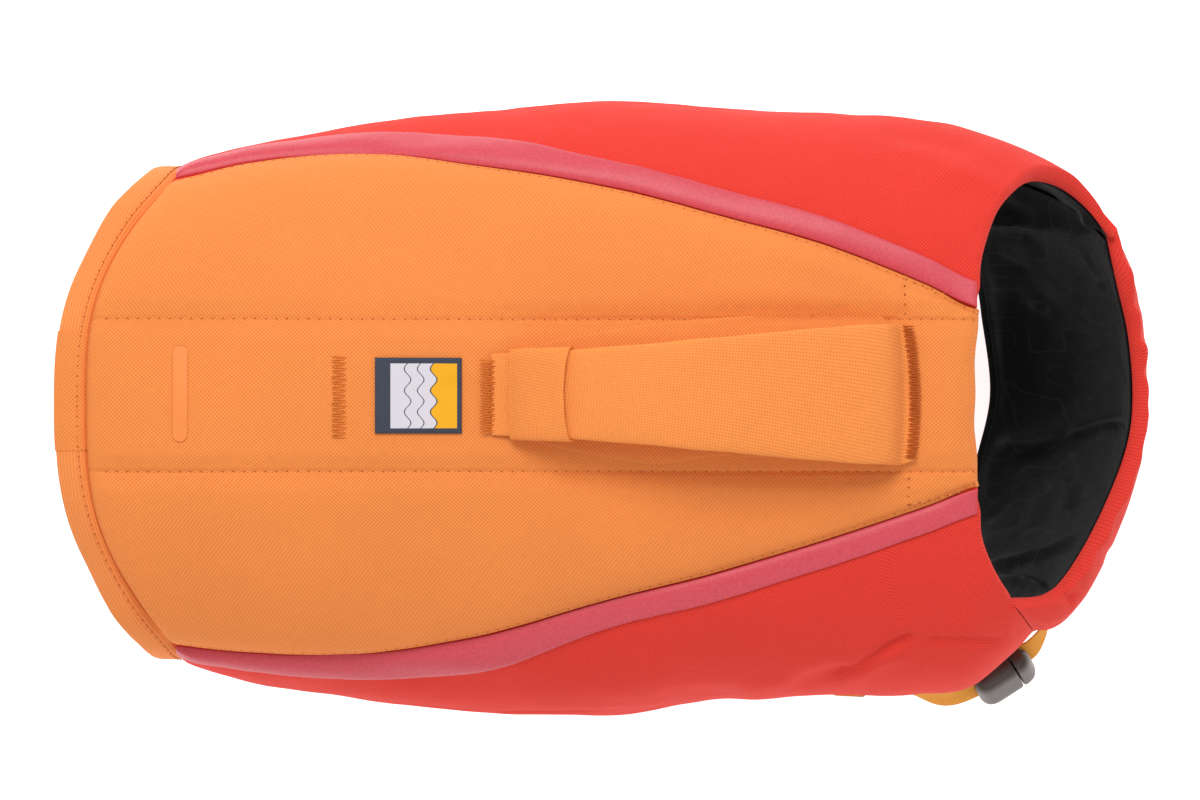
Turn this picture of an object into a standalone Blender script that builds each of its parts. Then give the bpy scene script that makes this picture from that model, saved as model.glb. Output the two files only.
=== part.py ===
"""Dog life jacket in its worn, hollow shape: foam panels, handle, binding, webbing and buckles.

Frame: +X points to the wearer's head, +Y to the wearer's left and +Z up. The origin is on the inner face of the
back panel, where the jacket rests on the wearer's back. Sizes below are in millimetres, and MM turns them into
Blender's metres when a mesh is made.
"""
import math
from collections import namedtuple
from functools import cache

import bmesh
import bpy
from mathutils import Matrix, Vector
from mathutils.bvhtree import BVHTree

MM = 0.001
SEAM_GAP = 0.3

# Walls. Foam panels are thick in the middle and pressed thin where they are sewn.
BACK_FOAM = 12.5
BACK_CHANNEL = 9.0
SIDE_FOAM = 10.0
CHEST_FOAM = 8.0
SEWN_EDGE = 5.0
HEM_EDGE = 6.5
EDGE_RAMP = 15.0
LINING = 1.0

# The two channel seams on the back run straight from tail to neck at these places across the back.
CHANNEL_LEFT = 37.5
CHANNEL_RIGHT = -30.0
CHANNEL_RAMP = 9.0

# The general figure inside: a rounded rectangle whose roundness is this power, and its depth below the
# widest line.
ROUNDNESS = 2.4
BELLY_DEPTH = 120.0

# The tail edge bows out towards the tail, and the neck edge bows in.
TAIL_MIDDLE = -236.0
TAIL_CORNER = -197.0
TAIL_BOW_POWER = 3.1
TAIL_HEM_SHIFT = 11.0
NECK_CORNER = 173.0
NECK_BOW = 2.0

# How many rows of facets the back and side panels have from tail to neck.
LENGTH_ROWS = 30

BAND_WIDTH = 15.5
BAND_THICK = 8.5
BAND_FLARE = 0.5
BAND_CENTRE = (32.7, -21.2)

TRIM_THICK = 0.9
LABEL_BOX = (-102.6, -63.5, -12.9, 20.2)
LABEL_THICK = 1.0
TAB_BOX = (-194.8, -188.6, -16.6, 25.3)
TAB_THICK = 0.8

HANDLE_MIDDLE = 4.4
CUFF_SPAN = (-40.5, -13.0)
CUFF_WALL = 1.1

WEBBING = 1.5
NECK_WEB_WIDTH = 20.0
BELLY_WEB_WIDTH = 25.0
BELLY_STRAPS = {"front": 96.0, "rear": -74.0}

Station = namedtuple("Station", "x top depth side_left side_right seam_left seam_right hem")
STATIONS = [
    Station(-236.0, -9.0, 66.0, 97.0, 104.0, 92.0, 98.0, -84.0),
    Station(-197.0, -5.0, 74.0, 103.0, 111.5, 98.5, 106.5, -97.0),
    Station(-160.0, -2.5, 84.0, 113.0, 123.0, 107.0, 111.0, -120.0),
    Station(-110.0, -0.5, 91.0, 122.0, 130.0, 111.5, 111.5, -140.0),
    Station(-60.0, 0.0, 94.0, 129.0, 136.0, 107.0, 104.5, -151.0),
    Station(0.0, 0.0, 95.0, 132.5, 137.0, 97.5, 89.0, -157.0),
    Station(60.0, 0.0, 95.0, 128.5, 129.0, 83.0, 73.5, -160.0),
    Station(110.0, -0.5, 94.0, 127.0, 128.0, 69.0, 59.0, -159.0),
    Station(150.0, -2.0, 92.0, 126.0, 128.0, 53.5, 46.0, -153.0),
    Station(NECK_CORNER, -3.5, 90.0, 122.5, 126.0, 43.0, 37.5, -147.0),
    Station(190.0, -4.0, 89.0, 117.0, 110.8, 40.5, 34.0, -150.0),
    Station(205.0, -5.0, 88.0, 109.8, 95.0, 38.0, 29.0, -150.0),
    Station(220.0, -6.0, 87.0, 100.8, 84.0, 35.0, 26.0, -150.0),
    Station(232.0, -7.0, 86.0, 90.3, 74.0, 31.0, 23.0, -150.0),
    Station(242.0, -8.0, 85.0, 77.5, 64.0, 27.0, 20.0, -150.0),
]

# The front outline of each side panel, seen from the side: down the neck rim to its foremost place, then back
# along its lower edge to the hem. Foam is the panel's thickness there.
Front = namedtuple("Front", "x z foam")
FRONT_LEFT = [
    Front(173.0, -6.6, 8.5),
    Front(173.3, -12.0, 8.5),
    Front(176.5, -17.0, 8.5),
    Front(180.5, -23.0, 8.5),
    Front(189.0, -34.0, 8.5),
    Front(203.0, -54.5, 8.5),
    Front(216.0, -70.0, 7.6),
    Front(228.0, -82.0, 5.6),
    Front(240.0, -90.0, 3.6),
    Front(240.0, -97.0, 3.6),
    Front(232.0, -109.0, 5.2),
    Front(221.0, -119.0, 7.0),
    Front(209.0, -127.0, 7.6),
    Front(196.0, -134.0, 7.6),
    Front(182.0, -140.0, 7.6),
    Front(165.0, -147.0, 7.0),
]
FRONT_RIGHT = [
    Front(173.0, -6.0, 8.5),
    Front(173.6, -10.5, 8.5),
    Front(178.0, -15.6, 8.5),
    Front(184.0, -23.5, 8.5),
    Front(189.5, -33.0, 8.5),
    Front(194.5, -50.0, 8.5),
    Front(197.0, -70.0, 8.5),
    Front(195.0, -86.0, 8.5),
    Front(189.0, -97.0, 8.0),
    Front(182.0, -108.0, 7.6),
    Front(174.0, -124.0, 7.6),
    Front(163.0, -146.0, 7.0),
]
# Where the bib meets those outlines: from this row to that one.
CLOSURE_ROWS = (9, 13)
SHOULDER_SEAM_ROWS = (4, 8)

# The bib between the two shoulders, from the closure on the left round the front to the seam on the right.
Fold = namedtuple("Fold", "rim middle edge")
CHEST = [
    Fold((245.0, 58.0, -97.0), (236.0, 68.0, -140.0), (190.0, 80.0, -165.0)),
    Fold((251.3, 33.0, -106.0), (241.0, 38.0, -163.0), (189.0, 46.0, -192.0)),
    Fold((254.0, 5.0, -111.0), (241.5, 4.0, -175.0), (188.0, 5.0, -205.0)),
    Fold((251.3, -18.0, -106.0), (240.5, -22.0, -165.0), (188.0, -30.0, -198.0)),
    Fold((241.3, -43.5, -94.0), (235.0, -53.0, -143.0), (188.5, -57.0, -180.0)),
    Fold((226.0, -71.0, -77.0), (224.0, -80.0, -115.0), (189.0, -76.0, -156.0)),
    Fold((210.0, -88.8, -59.0), (211.5, -96.5, -88.0), (190.0, -92.0, -127.0)),
]

TrimRow = namedtuple("TrimRow", "x width")
TRIM = [
    TrimRow(-197.0, 8.0),
    TrimRow(-160.0, 10.0),
    TrimRow(-110.0, 14.0),
    TrimRow(-60.0, 16.0),
    TrimRow(0.0, 10.5),
    TrimRow(60.0, 10.0),
    TrimRow(NECK_CORNER, 9.5),
]

# The handle from its tail foot to its neck foot: the gap under it, its thickness and its half width.
HandleRow = namedtuple("HandleRow", "x rise thick half")
HANDLE = [
    HandleRow(-53.5, 0.3, 1.8, 18.6),
    HandleRow(-47.0, 0.3, 2.0, 18.9),
    HandleRow(-40.0, 1.6, 3.0, 19.2),
    HandleRow(-28.0, 7.5, 5.0, 19.6),
    HandleRow(-13.0, 14.0, 6.5, 20.0),
    HandleRow(12.0, 20.0, 8.0, 22.4),
    HandleRow(45.0, 23.0, 9.0, 25.4),
    HandleRow(80.0, 21.5, 9.0, 28.4),
    HandleRow(108.0, 16.0, 8.5, 30.6),
    HandleRow(126.0, 9.0, 7.0, 31.8),
    HandleRow(135.0, 3.2, 4.6, 32.2),
    HandleRow(140.0, 0.3, 2.2, 32.0),
    HandleRow(148.5, 0.3, 1.8, 30.0),
]
BaseRow = namedtuple("BaseRow", "x half")
HANDLE_BASE = [
    BaseRow(-38.0, 19.6),
    BaseRow(0.0, 27.6),
    BaseRow(22.0, 31.0),
    BaseRow(50.0, 33.2),
    BaseRow(132.0, 35.6),
]
BASE_THICK = 1.2

Finish = namedtuple("Finish", "color roughness metallic")
FINISHES = {
    "orange_cloth": Finish((0.95, 0.31, 0.08, 1.0), 0.8, 0.0),
    "red_cloth": Finish((0.80, 0.045, 0.03, 1.0), 0.8, 0.0),
    "pink_reflective": Finish((0.70, 0.10, 0.12, 1.0), 0.45, 0.0),
    "ribbed_binding": Finish((0.93, 0.29, 0.07, 1.0), 0.85, 0.0),
    "black_lining": Finish((0.010, 0.010, 0.010, 1.0), 0.6, 0.0),
    "amber_webbing": Finish((0.86, 0.33, 0.02, 1.0), 0.7, 0.0),
    "grey_acetal": Finish((0.10, 0.08, 0.078, 1.0), 0.35, 0.0),
    "woven_label": Finish((0.95, 0.47, 0.02, 1.0), 0.6, 0.0),
}


def clear_scene():
    """Remove every object, so the model starts empty."""
    for item in list(bpy.data.objects):
        bpy.data.objects.remove(item, do_unlink=True)


def material(name):
    """The finish of that name as a Principled material, made once."""
    found = bpy.data.materials.get(name)
    if found:
        return found
    made = bpy.data.materials.new(name)
    made.use_nodes = True
    shader = made.node_tree.nodes["Principled BSDF"]
    finish = FINISHES[name]
    shader.inputs["Base Color"].default_value = finish.color
    shader.inputs["Roughness"].default_value = finish.roughness
    shader.inputs["Metallic"].default_value = finish.metallic
    return made


def collection(name):
    """The collection of that name, made once and linked to the scene."""
    found = bpy.data.collections.get(name)
    if not found:
        found = bpy.data.collections.new(name)
        bpy.context.scene.collection.children.link(found)
    return found


def add_object(name, mesh, finish):
    """Put a mesh into the model's collection under a node's name."""
    made = bpy.data.objects.new(name, mesh)
    collection("dog_life_jacket").objects.link(made)
    if finish:
        mesh.materials.clear()
        mesh.materials.append(material(finish))
    return made


def mesh_from_bmesh(name, bm):
    """A mesh in metres from a bmesh in millimetres, with its faces outward."""
    bmesh.ops.recalc_face_normals(bm, faces=bm.faces)
    bmesh.ops.scale(bm, vec=Vector((MM, MM, MM)), verts=bm.verts)
    mesh = bpy.data.meshes.new(name)
    bm.to_mesh(mesh)
    bm.free()
    mesh.shade_smooth()
    mesh.set_sharp_from_angle(angle=math.radians(40.0))
    return mesh


def smoothstep(value):
    """Ease from 0 to 1 as value goes from 0 to 1."""
    value = min(max(value, 0.0), 1.0)
    return value * value * (3.0 - 2.0 * value)


def steps(count, start=0.0, end=1.0):
    """Evenly spaced values from start to end, both included."""
    return [start + (end - start) * index / count for index in range(count + 1)]


def spline(knots, values, at):
    """A smooth curve through values (numbers or vectors) at knots, held straight past its ends."""
    index = 0
    while index < len(knots) - 2 and at > knots[index + 1]:
        index += 1
    span = knots[index + 1] - knots[index]

    def slope(first):
        return (values[first + 1] - values[first]) / (knots[first + 1] - knots[first])

    def tangent(knot):
        if knot == 0:
            return slope(0)
        if knot == len(knots) - 1:
            return slope(knot - 1)
        before = knots[knot] - knots[knot - 1]
        after = knots[knot + 1] - knots[knot]
        return (slope(knot - 1) * after + slope(knot) * before) / (before + after)

    t = (at - knots[index]) / span
    if t < 0.0 or t > 1.0:
        end = index if t < 0.0 else index + 1
        return values[end] + tangent(end) * (at - knots[end])
    return (values[index] * (2 * t ** 3 - 3 * t ** 2 + 1)
            + values[index + 1] * (3 * t ** 2 - 2 * t ** 3)
            + tangent(index) * span * (t ** 3 - 2 * t ** 2 + t)
            + tangent(index + 1) * span * (t ** 3 - t ** 2))


def table_value(rows, column, at):
    """One column of a table at a place between its rows."""
    return spline([row[0] for row in rows], [getattr(row, column) for row in rows], at)


def station(x):
    """The figure's sizes at a place along the body, between the rows of STATIONS."""
    return Station(x, *[table_value(STATIONS, column, x) for column in Station._fields[1:]])


def seam_reach(size, side):
    """How far the back panel's seam lies from the middle, on the left (1) or the right (-1)."""
    return size.seam_left if side > 0 else size.seam_right


def side_reach(size, side):
    """How far the widest line lies from the middle, on the left (1) or the right (-1)."""
    return size.side_left if side > 0 else size.side_right


def back_point(size, v):
    """A point of the back's inner face: v is -1 at the right seam, 0 in the middle and 1 at the left seam."""
    side = 1 if v >= 0 else -1
    y = v * seam_reach(size, side)
    ratio = abs(y) / side_reach(size, side)
    rise = (1.0 - ratio ** ROUNDNESS) ** (1.0 / ROUNDNESS)
    return Vector((size.x, y, size.top - size.depth * (1.0 - rise)))


def side_angles(size, side):
    """The angles, round the figure from its top, of the seam and of the hem."""
    across = seam_reach(size, side) / side_reach(size, side)
    up = (1.0 - across ** ROUNDNESS) ** (1.0 / ROUNDNESS)
    down = (size.top - size.depth - size.hem) / BELLY_DEPTH
    across_hem = (1.0 - down ** ROUNDNESS) ** (1.0 / ROUNDNESS)
    return math.atan2(across, up), math.atan2(across_hem, -down)


def side_point(size, side, v):
    """A point of the side's inner face: v is 0 at the seam, 1 at the hem, and past 1 under the belly."""
    seam, hem = side_angles(size, side)
    angle = seam + (hem - seam) * v
    sine, cosine = math.sin(angle), math.cos(angle)
    radius = (abs(sine) ** ROUNDNESS + abs(cosine) ** ROUNDNESS) ** (1.0 / ROUNDNESS)
    depth = size.depth if cosine > 0 else BELLY_DEPTH
    middle = size.top - size.depth
    return Vector((size.x, side * side_reach(size, side) * sine / radius, middle + depth * cosine / radius))


def fold_point(fold, v):
    """A point on a fold line: v is 0 at the rim, a half at its middle point and 1 at the lower edge."""
    rim, middle, edge = Vector(fold.rim), Vector(fold.middle), Vector(fold.edge)
    return rim * (1 - v) * (1 - 2 * v) + middle * 4 * v * (1 - v) + edge * v * (2 * v - 1)


class Shell:
    """A foam panel: an inner face through fold lines, and its thickness out from that face."""

    def __init__(self, knots, lines, thickness, seam_normals=()):
        """Take the fold lines, the thickness and the normals shared with a neighbour: (s, reach, normal)."""
        self.knots = knots
        self.lines = lines
        self.thickness = thickness
        self.seam_normals = seam_normals

    def point(self, s, v):
        """A point of the inner face, s along the panel and v across it."""
        return spline(self.knots, [line(v) for line in self.lines], s)

    def normal(self, s, v):
        """The direction straight out of the panel, away from the wearer."""
        step_s, step_v = 0.004 * (self.knots[-1] - self.knots[0]), 0.004
        along = self.point(s + step_s, v) - self.point(s - step_s, v)
        across = self.point(s, v + step_v) - self.point(s, v - step_v)
        out = along.cross(across).normalized()
        point = self.point(s, v)
        middle = Vector((min(point.x, 180.0), 0.0, -90.0))
        out = out if out.dot(point - middle) > 0 else -out
        for seam, reach, shared in self.seam_normals:
            share = 1.0 - smoothstep(abs(s - seam) / reach)
            if share > 0.0:
                out = out.lerp(shared(v), share).normalized()
        return out

    def off(self, s, v, lift):
        """A point moved straight out from the inner face."""
        return self.point(s, v) + self.normal(s, v) * lift

    def outer(self, s, v, lift=0.0):
        """A point of the outer face, moved out by lift."""
        return self.off(s, v, self.thickness(s, v) + lift)

    def length_across(self, s):
        """How long the panel is across, from v 0 to v 1."""
        places = [self.point(s, v) for v in steps(16)]
        return sum((after - before).length for before, after in zip(places, places[1:]))


class Ground:
    """The faces of finished panels, which pieces laid on them must stay clear of."""

    REACH = 14.0

    def __init__(self, panels):
        """Take the panels' objects."""
        corners, faces = [], []
        for item in panels:
            start = len(corners)
            corners += [vertex.co / MM for vertex in item.data.vertices]
            faces += [[start + index for index in face.vertices] for face in item.data.polygons]
        self.tree = BVHTree.FromPolygons(corners, faces)

    def height(self, point, out):
        """How far out from a point the outermost face near it lies, or far below where there is none."""
        hit = self.tree.ray_cast(point + out * self.REACH, -out, self.REACH * 2.0)
        return self.REACH - hit[3] if hit[0] else -self.REACH

    def settle(self, points, normals, gap=SEAM_GAP + 0.05):
        """A grid of points moved along their normals until it lies clear of the faces everywhere."""
        rows, columns = len(points), len(points[0])
        lift = [[max(self.height(points[i][j], normals[i][j]), -1.0) + gap for j in range(columns)]
                for i in range(rows)]

        def placed(i, j):
            return points[i][j] + normals[i][j] * lift[i][j]

        for _ in range(3):
            extra = [[0.0] * columns for _ in range(rows)]
            for i in range(rows - 1):
                for j in range(columns - 1):
                    corners = ((i, j), (i, j + 1), (i + 1, j + 1), (i + 1, j))
                    need = self.cell_need([placed(*corner) for corner in corners],
                                          [normals[a][b] for a, b in corners], gap)
                    for a, b in corners:
                        extra[a][b] = max(extra[a][b], need)
            lift = [[lift[i][j] + extra[i][j] for j in range(columns)] for i in range(rows)]
        return [[placed(i, j) for j in range(columns)] for i in range(rows)]

    def cell_need(self, corners, normals, gap):
        """How much further out a four-sided facet must go."""
        need = 0.0
        out = sum(normals, Vector((0.0, 0.0, 0.0))).normalized()
        for t in steps(4):
            for u in steps(4):
                low = corners[0].lerp(corners[1], t)
                high = corners[3].lerp(corners[2], t)
                need = max(need, self.height(low.lerp(high, u), out) + gap)
        return need


def sewn_ramp(distance, edge, full):
    """Foam thickness at a distance from a sewn edge."""
    return edge + (full - edge) * math.sqrt(1.0 - (1.0 - min(distance / EDGE_RAMP, 1.0)) ** 2)


def tail_edge(v):
    """Where the tail edge of the back lies along the body."""
    return TAIL_MIDDLE + (TAIL_CORNER - TAIL_MIDDLE) * abs(v) ** TAIL_BOW_POWER


def neck_edge(v):
    """Where the neck edge of the back lies along the body."""
    return NECK_CORNER - NECK_BOW * (1.0 - v * v)


def back_thickness(x, v):
    """The back panel's thickness: full in its channels, thin at its seams."""
    size = station(x)
    y = v * seam_reach(size, 1 if v >= 0 else -1)
    to_seam = seam_reach(size, 1 if v >= 0 else -1) - abs(y)
    to_channel = min(abs(y - CHANNEL_LEFT), abs(y - CHANNEL_RIGHT))
    full = BACK_CHANNEL + (BACK_FOAM - BACK_CHANNEL) * smoothstep(to_channel / CHANNEL_RAMP)
    ends = min(x - tail_edge(v), neck_edge(v) - x)
    return min(sewn_ramp(to_seam, SEWN_EDGE, full), sewn_ramp(max(ends, 0.0), SEWN_EDGE + 1.5, full))


def front_rows(side):
    """The rows of a side panel's front outline."""
    return FRONT_LEFT if side > 0 else FRONT_RIGHT


def across_at(size, side, z):
    """The place v across a side panel at a height."""
    middle = size.top - size.depth
    up = (z - middle) / (size.depth if z > middle else BELLY_DEPTH)
    across = (1.0 - abs(up) ** ROUNDNESS) ** (1.0 / ROUNDNESS)
    seam, hem = side_angles(size, side)
    return (math.atan2(across, up) - seam) / (hem - seam)


@cache
def front_knots(side):
    """The place v across the panel of each row of its front outline."""
    found = [across_at(station(row.x), side, row.z) for row in front_rows(side)]
    return [0.0] + found[1:-1] + [1.0]


def front_value(side, column, v):
    """A column of the front outline at a place across the panel."""
    return spline(front_knots(side), [getattr(row, column) for row in front_rows(side)], v)


def side_thickness(side):
    """The thickness of a side panel and its shoulder."""
    def thickness(x, v):
        length = 150.0
        front = front_value(side, "foam", min(max(v, 0.0), 1.0))
        full = SIDE_FOAM + (front - SIDE_FOAM) * smoothstep((x - 110.0) / (front_value(side, "x", v) - 110.0))
        seam = sewn_ramp(v * length, SEWN_EDGE, full)
        seam += (full - seam) * smoothstep((x - 155.0) / 18.0)
        hem = sewn_ramp(max(1.0 - v, 0.0) * length, HEM_EDGE, full)
        tail = sewn_ramp(max(x - TAIL_CORNER, 0.0), SEWN_EDGE + 1.5, full)
        return min(seam, hem, tail)

    return thickness


def chest_thickness(s, v):
    """The bib's thickness."""
    edge = sewn_ramp((1.0 - v) * 90.0, HEM_EDGE - 1.0, CHEST_FOAM)
    return min(edge, 6.5 + 1.5 * smoothstep(s)) + 0.5 * smoothstep(s - 4.0) * smoothstep((1.0 - v) / 0.3)


def make_back():
    """The back panel's shell."""
    sizes = STATIONS
    lines = [lambda v, size=size: back_point(size, v) for size in sizes]
    return Shell([size.x for size in sizes], lines, back_thickness)


def make_side(side):
    """A side panel's shell, from its tail end to the front of its shoulder."""
    lines = [lambda v, size=size: side_point(size, side, v) for size in STATIONS]
    return Shell([size.x for size in STATIONS], lines, side_thickness(side))


def make_chest(left, right):
    """The bib's shell, whose ends follow the left shoulder's lower edge and the right shoulder's front edge."""
    def beside(shell, side, rows):
        """A line just clear of a stretch of a side panel's front outline."""
        start, end = front_knots(side)[rows[0]], front_knots(side)[rows[1]]

        def line(v):
            across = start + (end - start) * v
            return shell.point(front_value(side, "x", across) + 3.5 * SEAM_GAP, across)

        return line

    def shared(shell, side, rows):
        """The panel's own direction out, along the same stretch."""
        start, end = front_knots(side)[rows[0]], front_knots(side)[rows[1]]

        def normal(v):
            across = start + (end - start) * v
            return shell.normal(front_value(side, "x", across), across)

        return normal

    lines = [beside(left, 1, CLOSURE_ROWS)]
    lines += [lambda v, fold=fold: fold_point(fold, v) for fold in CHEST]
    lines += [beside(right, -1, SHOULDER_SEAM_ROWS)]
    last = float(len(lines) - 1)
    seam_normals = ((0.0, 0.8, shared(left, 1, CLOSURE_ROWS)),
                    (last, 0.8, shared(right, -1, SHOULDER_SEAM_ROWS)))
    return Shell([float(index) for index in range(len(lines))], lines, chest_thickness, seam_normals)


def wall(name, inner, outer, finish, roll=(0.0, 0.0, 0.0, 0.0)):
    """A closed wall between two grids of points.

    roll says how far each edge is rounded out: the first row, the last row, the first column, the last column.
    """
    bm = bmesh.new()
    rows, columns = len(inner), len(inner[0])
    faces_in = [[bm.verts.new(point) for point in row] for row in inner]
    faces_out = [[bm.verts.new(point) for point in row] for row in outer]

    for i in range(rows - 1):
        for j in range(columns - 1):
            bm.faces.new((faces_in[i][j], faces_in[i][j + 1], faces_in[i + 1][j + 1], faces_in[i + 1][j]))
            bm.faces.new((faces_out[i][j], faces_out[i + 1][j], faces_out[i + 1][j + 1], faces_out[i][j + 1]))

    border = [(0, j) for j in range(columns - 1)] + [(i, columns - 1) for i in range(rows - 1)]
    border += [(rows - 1, j) for j in range(columns - 1, 0, -1)] + [(i, 0) for i in range(rows - 1, 0, -1)]

    def middle(i, j):
        """The point midway through the wall, rolled out at an open edge."""
        centre = (inner[i][j] + outer[i][j]) / 2
        shift = Vector((0.0, 0.0, 0.0))
        neighbours = []
        if i == 0:
            neighbours.append((1, j, roll[0]))
        if i == rows - 1:
            neighbours.append((rows - 2, j, roll[1]))
        if j == 0:
            neighbours.append((i, 1, roll[2]))
        if j == columns - 1:
            neighbours.append((i, columns - 2, roll[3]))
        for row, column, amount in neighbours:
            inside = (inner[row][column] + outer[row][column]) / 2
            shift += (centre - inside).normalized() * amount
        return centre + shift

    rim = {place: bm.verts.new(middle(*place)) for place in border}
    for place, following in zip(border, border[1:] + border[:1]):
        low = [faces_in[i][j] for i, j in (place, following)]
        high = [faces_out[i][j] for i, j in (place, following)]
        bm.faces.new((low[0], low[1], rim[following], rim[place]))
        bm.faces.new((rim[place], rim[following], high[1], high[0]))
    return add_object(name, mesh_from_bmesh(name, bm), finish)


def panel(name, shell, grid, finish, roll):
    """A foam panel on a shell, through a grid of (s, v) places."""
    inner = [[shell.point(s, v) for s, v in row] for row in grid]
    outer = [[shell.outer(s, v) for s, v in row] for row in grid]
    return wall(name, inner, outer, finish, roll)


def moved(points, normals, distance):
    """A grid of points moved along its normals."""
    return [[point + normal * distance for point, normal in zip(*rows)] for rows in zip(points, normals)]


def laid(name, shell, grid, thick, finish, ground):
    """A flat piece that lies on a panel's outer face, made from its points moved out."""
    normals = [[shell.normal(s, v) for s, v in row] for row in grid]
    inner = ground.settle([[shell.outer(s, v) for s, v in row] for row in grid], normals)
    return wall(name, inner, moved(inner, normals, thick), finish)


def lining(name, shell, grid, ground):
    """A thin lining inside a panel, made from its inner face moved in."""
    normals = [[-shell.normal(s, v) for s, v in row] for row in grid]
    outer = ground.settle([[shell.point(s, v) for s, v in row] for row in grid], normals, SEAM_GAP + 0.25)
    return wall(name, moved(outer, normals, LINING), outer, "black_lining")


def tube(name, centres, sideways, upward, half_width, half_thick, finish, sides=12, squareness=2.6):
    """A closed tube with a rounded flat section, along a line of centres."""
    bm = bmesh.new()
    rings = []
    for index, centre in enumerate(centres):
        ring = []
        for turn in range(sides):
            angle = 2.0 * math.pi * (turn + 0.5) / sides
            cosine, sine = math.cos(angle), math.sin(angle)
            radius = (abs(cosine) ** squareness + abs(sine) ** squareness) ** (-1.0 / squareness)
            point = (centre + sideways[index] * (half_width[index] * cosine * radius)
                     + upward[index] * (half_thick[index] * sine * radius))
            ring.append(bm.verts.new(point))
        rings.append(ring)
    for ring, following in zip(rings, rings[1:]):
        for turn in range(sides):
            after = (turn + 1) % sides
            bm.faces.new((ring[turn], ring[after], following[after], following[turn]))
    bm.faces.new(rings[0][::-1])
    bm.faces.new(rings[-1])
    return add_object(name, mesh_from_bmesh(name, bm), finish)


def on_back(x, y):
    """The (s, v) place on the back panel of a point seen from above."""
    size = station(x)
    return x, y / seam_reach(size, 1 if y >= 0 else -1)


def build_back(back):
    """The back panel, its label and the bonded bar on its tail."""
    columns = []
    edge = SEAM_GAP / 2
    for count, start, end in ((7, "seam_right", CHANNEL_RIGHT), (9, CHANNEL_RIGHT, CHANNEL_LEFT),
                              (7, CHANNEL_LEFT, "seam_left")):
        columns += [(start, end, t) for t in steps(count)[(1 if columns else 0):]]

    def across(x):
        size = station(x)
        limits = {"seam_right": edge - size.seam_right, "seam_left": size.seam_left - edge}
        found = []
        for start, end, t in columns:
            low, high = limits.get(start, start), limits.get(end, end)
            found.append(low + (high - low) * t)
        return found

    grid = []
    for u in steps(LENGTH_ROWS):
        row = []
        for index in range(len(columns)):
            x = TAIL_MIDDLE + (NECK_CORNER - TAIL_MIDDLE) * u
            for _ in range(6):
                v = on_back(x, across(x)[index])[1]
                x = tail_edge(v) + (neck_edge(v) - tail_edge(v)) * u
            row.append(on_back(x, across(x)[index]))
        grid.append(row)
    ground = Ground([panel("back_panel", back, grid, "orange_cloth", (0.0, 2.0, 0.0, 0.0))])

    for name, box, thick, finish in (("label", LABEL_BOX, LABEL_THICK, "woven_label"),
                                     ("tail_tab", TAB_BOX, TAB_THICK, "orange_cloth")):
        west, east, south, north = box
        spots = [[on_back(x, y) for y in steps(4, south, north)] for x in steps(3, west, east)]
        laid(name, back, spots, thick, finish, ground)
    return ground


def side_grid(side, columns=15):
    """The (x, v) places of a side panel, from tail edge to front outline, in step with the back's rows."""
    rows = []
    gap = SEAM_GAP / 2 / 150.0
    across = [gap + (1.0 - gap) * t for t in steps(columns)]
    for u in steps(LENGTH_ROWS):
        row = []
        for v in across:
            tail = TAIL_CORNER + TAIL_HEM_SHIFT * v
            row.append((tail + (front_value(side, "x", v) - tail) * u, v))
        rows.append(row)
    return rows


def build_side(side, shell):
    """A side panel with its reflective trim."""
    word = "left" if side > 0 else "right"
    ground = Ground([panel("side_panel_" + word, shell, side_grid(side), "red_cloth", (0.0, 0.0, 0.0, 2.0))])
    rows = []
    for x in steps(LENGTH_ROWS, TAIL_CORNER + 0.5, NECK_CORNER - 0.5):
        width = table_value(TRIM, "width", x)
        length = shell.length_across(x)
        rows.append([(x, (SEAM_GAP + (width - SEAM_GAP) * t) / length) for t in steps(2)])
    laid("trim_" + word, shell, rows, TRIM_THICK, "pink_reflective", ground)
    return ground


def build_chest(chest):
    """The bib and its lining."""
    grid = [[(s, v) for v in steps(9)] for s in steps(22, 0.0, chest.knots[-1])]
    ground = Ground([panel("chest_panel", chest, grid, "red_cloth", (0.0, 0.0, 2.0, 2.0))])
    spots = [[(s, v) for v in steps(9, 0.01, 0.98)] for s in steps(22, 0.06, chest.knots[-1] - 0.06)]
    lining("chest_lining", chest, spots, ground)
    return ground


def build_neck_linings(sides, grounds):
    """The lining inside each shoulder, as far as it shows through the neck."""
    for side, word in ((1, "left"), (-1, "right")):
        rows = [row[:] for row in side_grid(side)[-3:]]
        rows[-1] = [(x + (end - x) * 0.8, v) for (x, v), (end, _) in zip(rows[-2], rows[-1])]
        spots = []
        for row in rows:
            inset = [(x, v + (0.015 if index == 0 else 0.0)) for index, (x, v) in enumerate(row)]
            spots.append(inset[:-1] + [(row[-1][0], row[-1][1] - 0.02)])
        lining("neck_lining_" + word, sides[side], spots, grounds[side])


def tail_path(back, sides):
    """The tail edge from the left hem over the back to the right hem: places with the panel's directions."""
    spots = []
    for v in steps(7, 1.0, 0.06):
        spots.append((sides[1], TAIL_CORNER + TAIL_HEM_SHIFT * v, v))
    for v in steps(30, 0.985, -0.985):
        spots.append((back, tail_edge(v), v))
    for v in steps(7, 0.06, 1.0):
        spots.append((sides[-1], TAIL_CORNER + TAIL_HEM_SHIFT * v, v))
    places = [(shell.off(s, v, shell.thickness(s, v) / 2), shell.normal(s, v)) for shell, s, v in spots]
    for _ in range(3):
        inside = zip(places, places[1:], places[2:])
        eased = [((a[0] + b[0] * 2 + c[0]) / 4, (a[1] + b[1] * 2 + c[1]).normalized()) for a, b, c in inside]
        places = [places[0]] + eased + [places[-1]]
    return places


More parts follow.
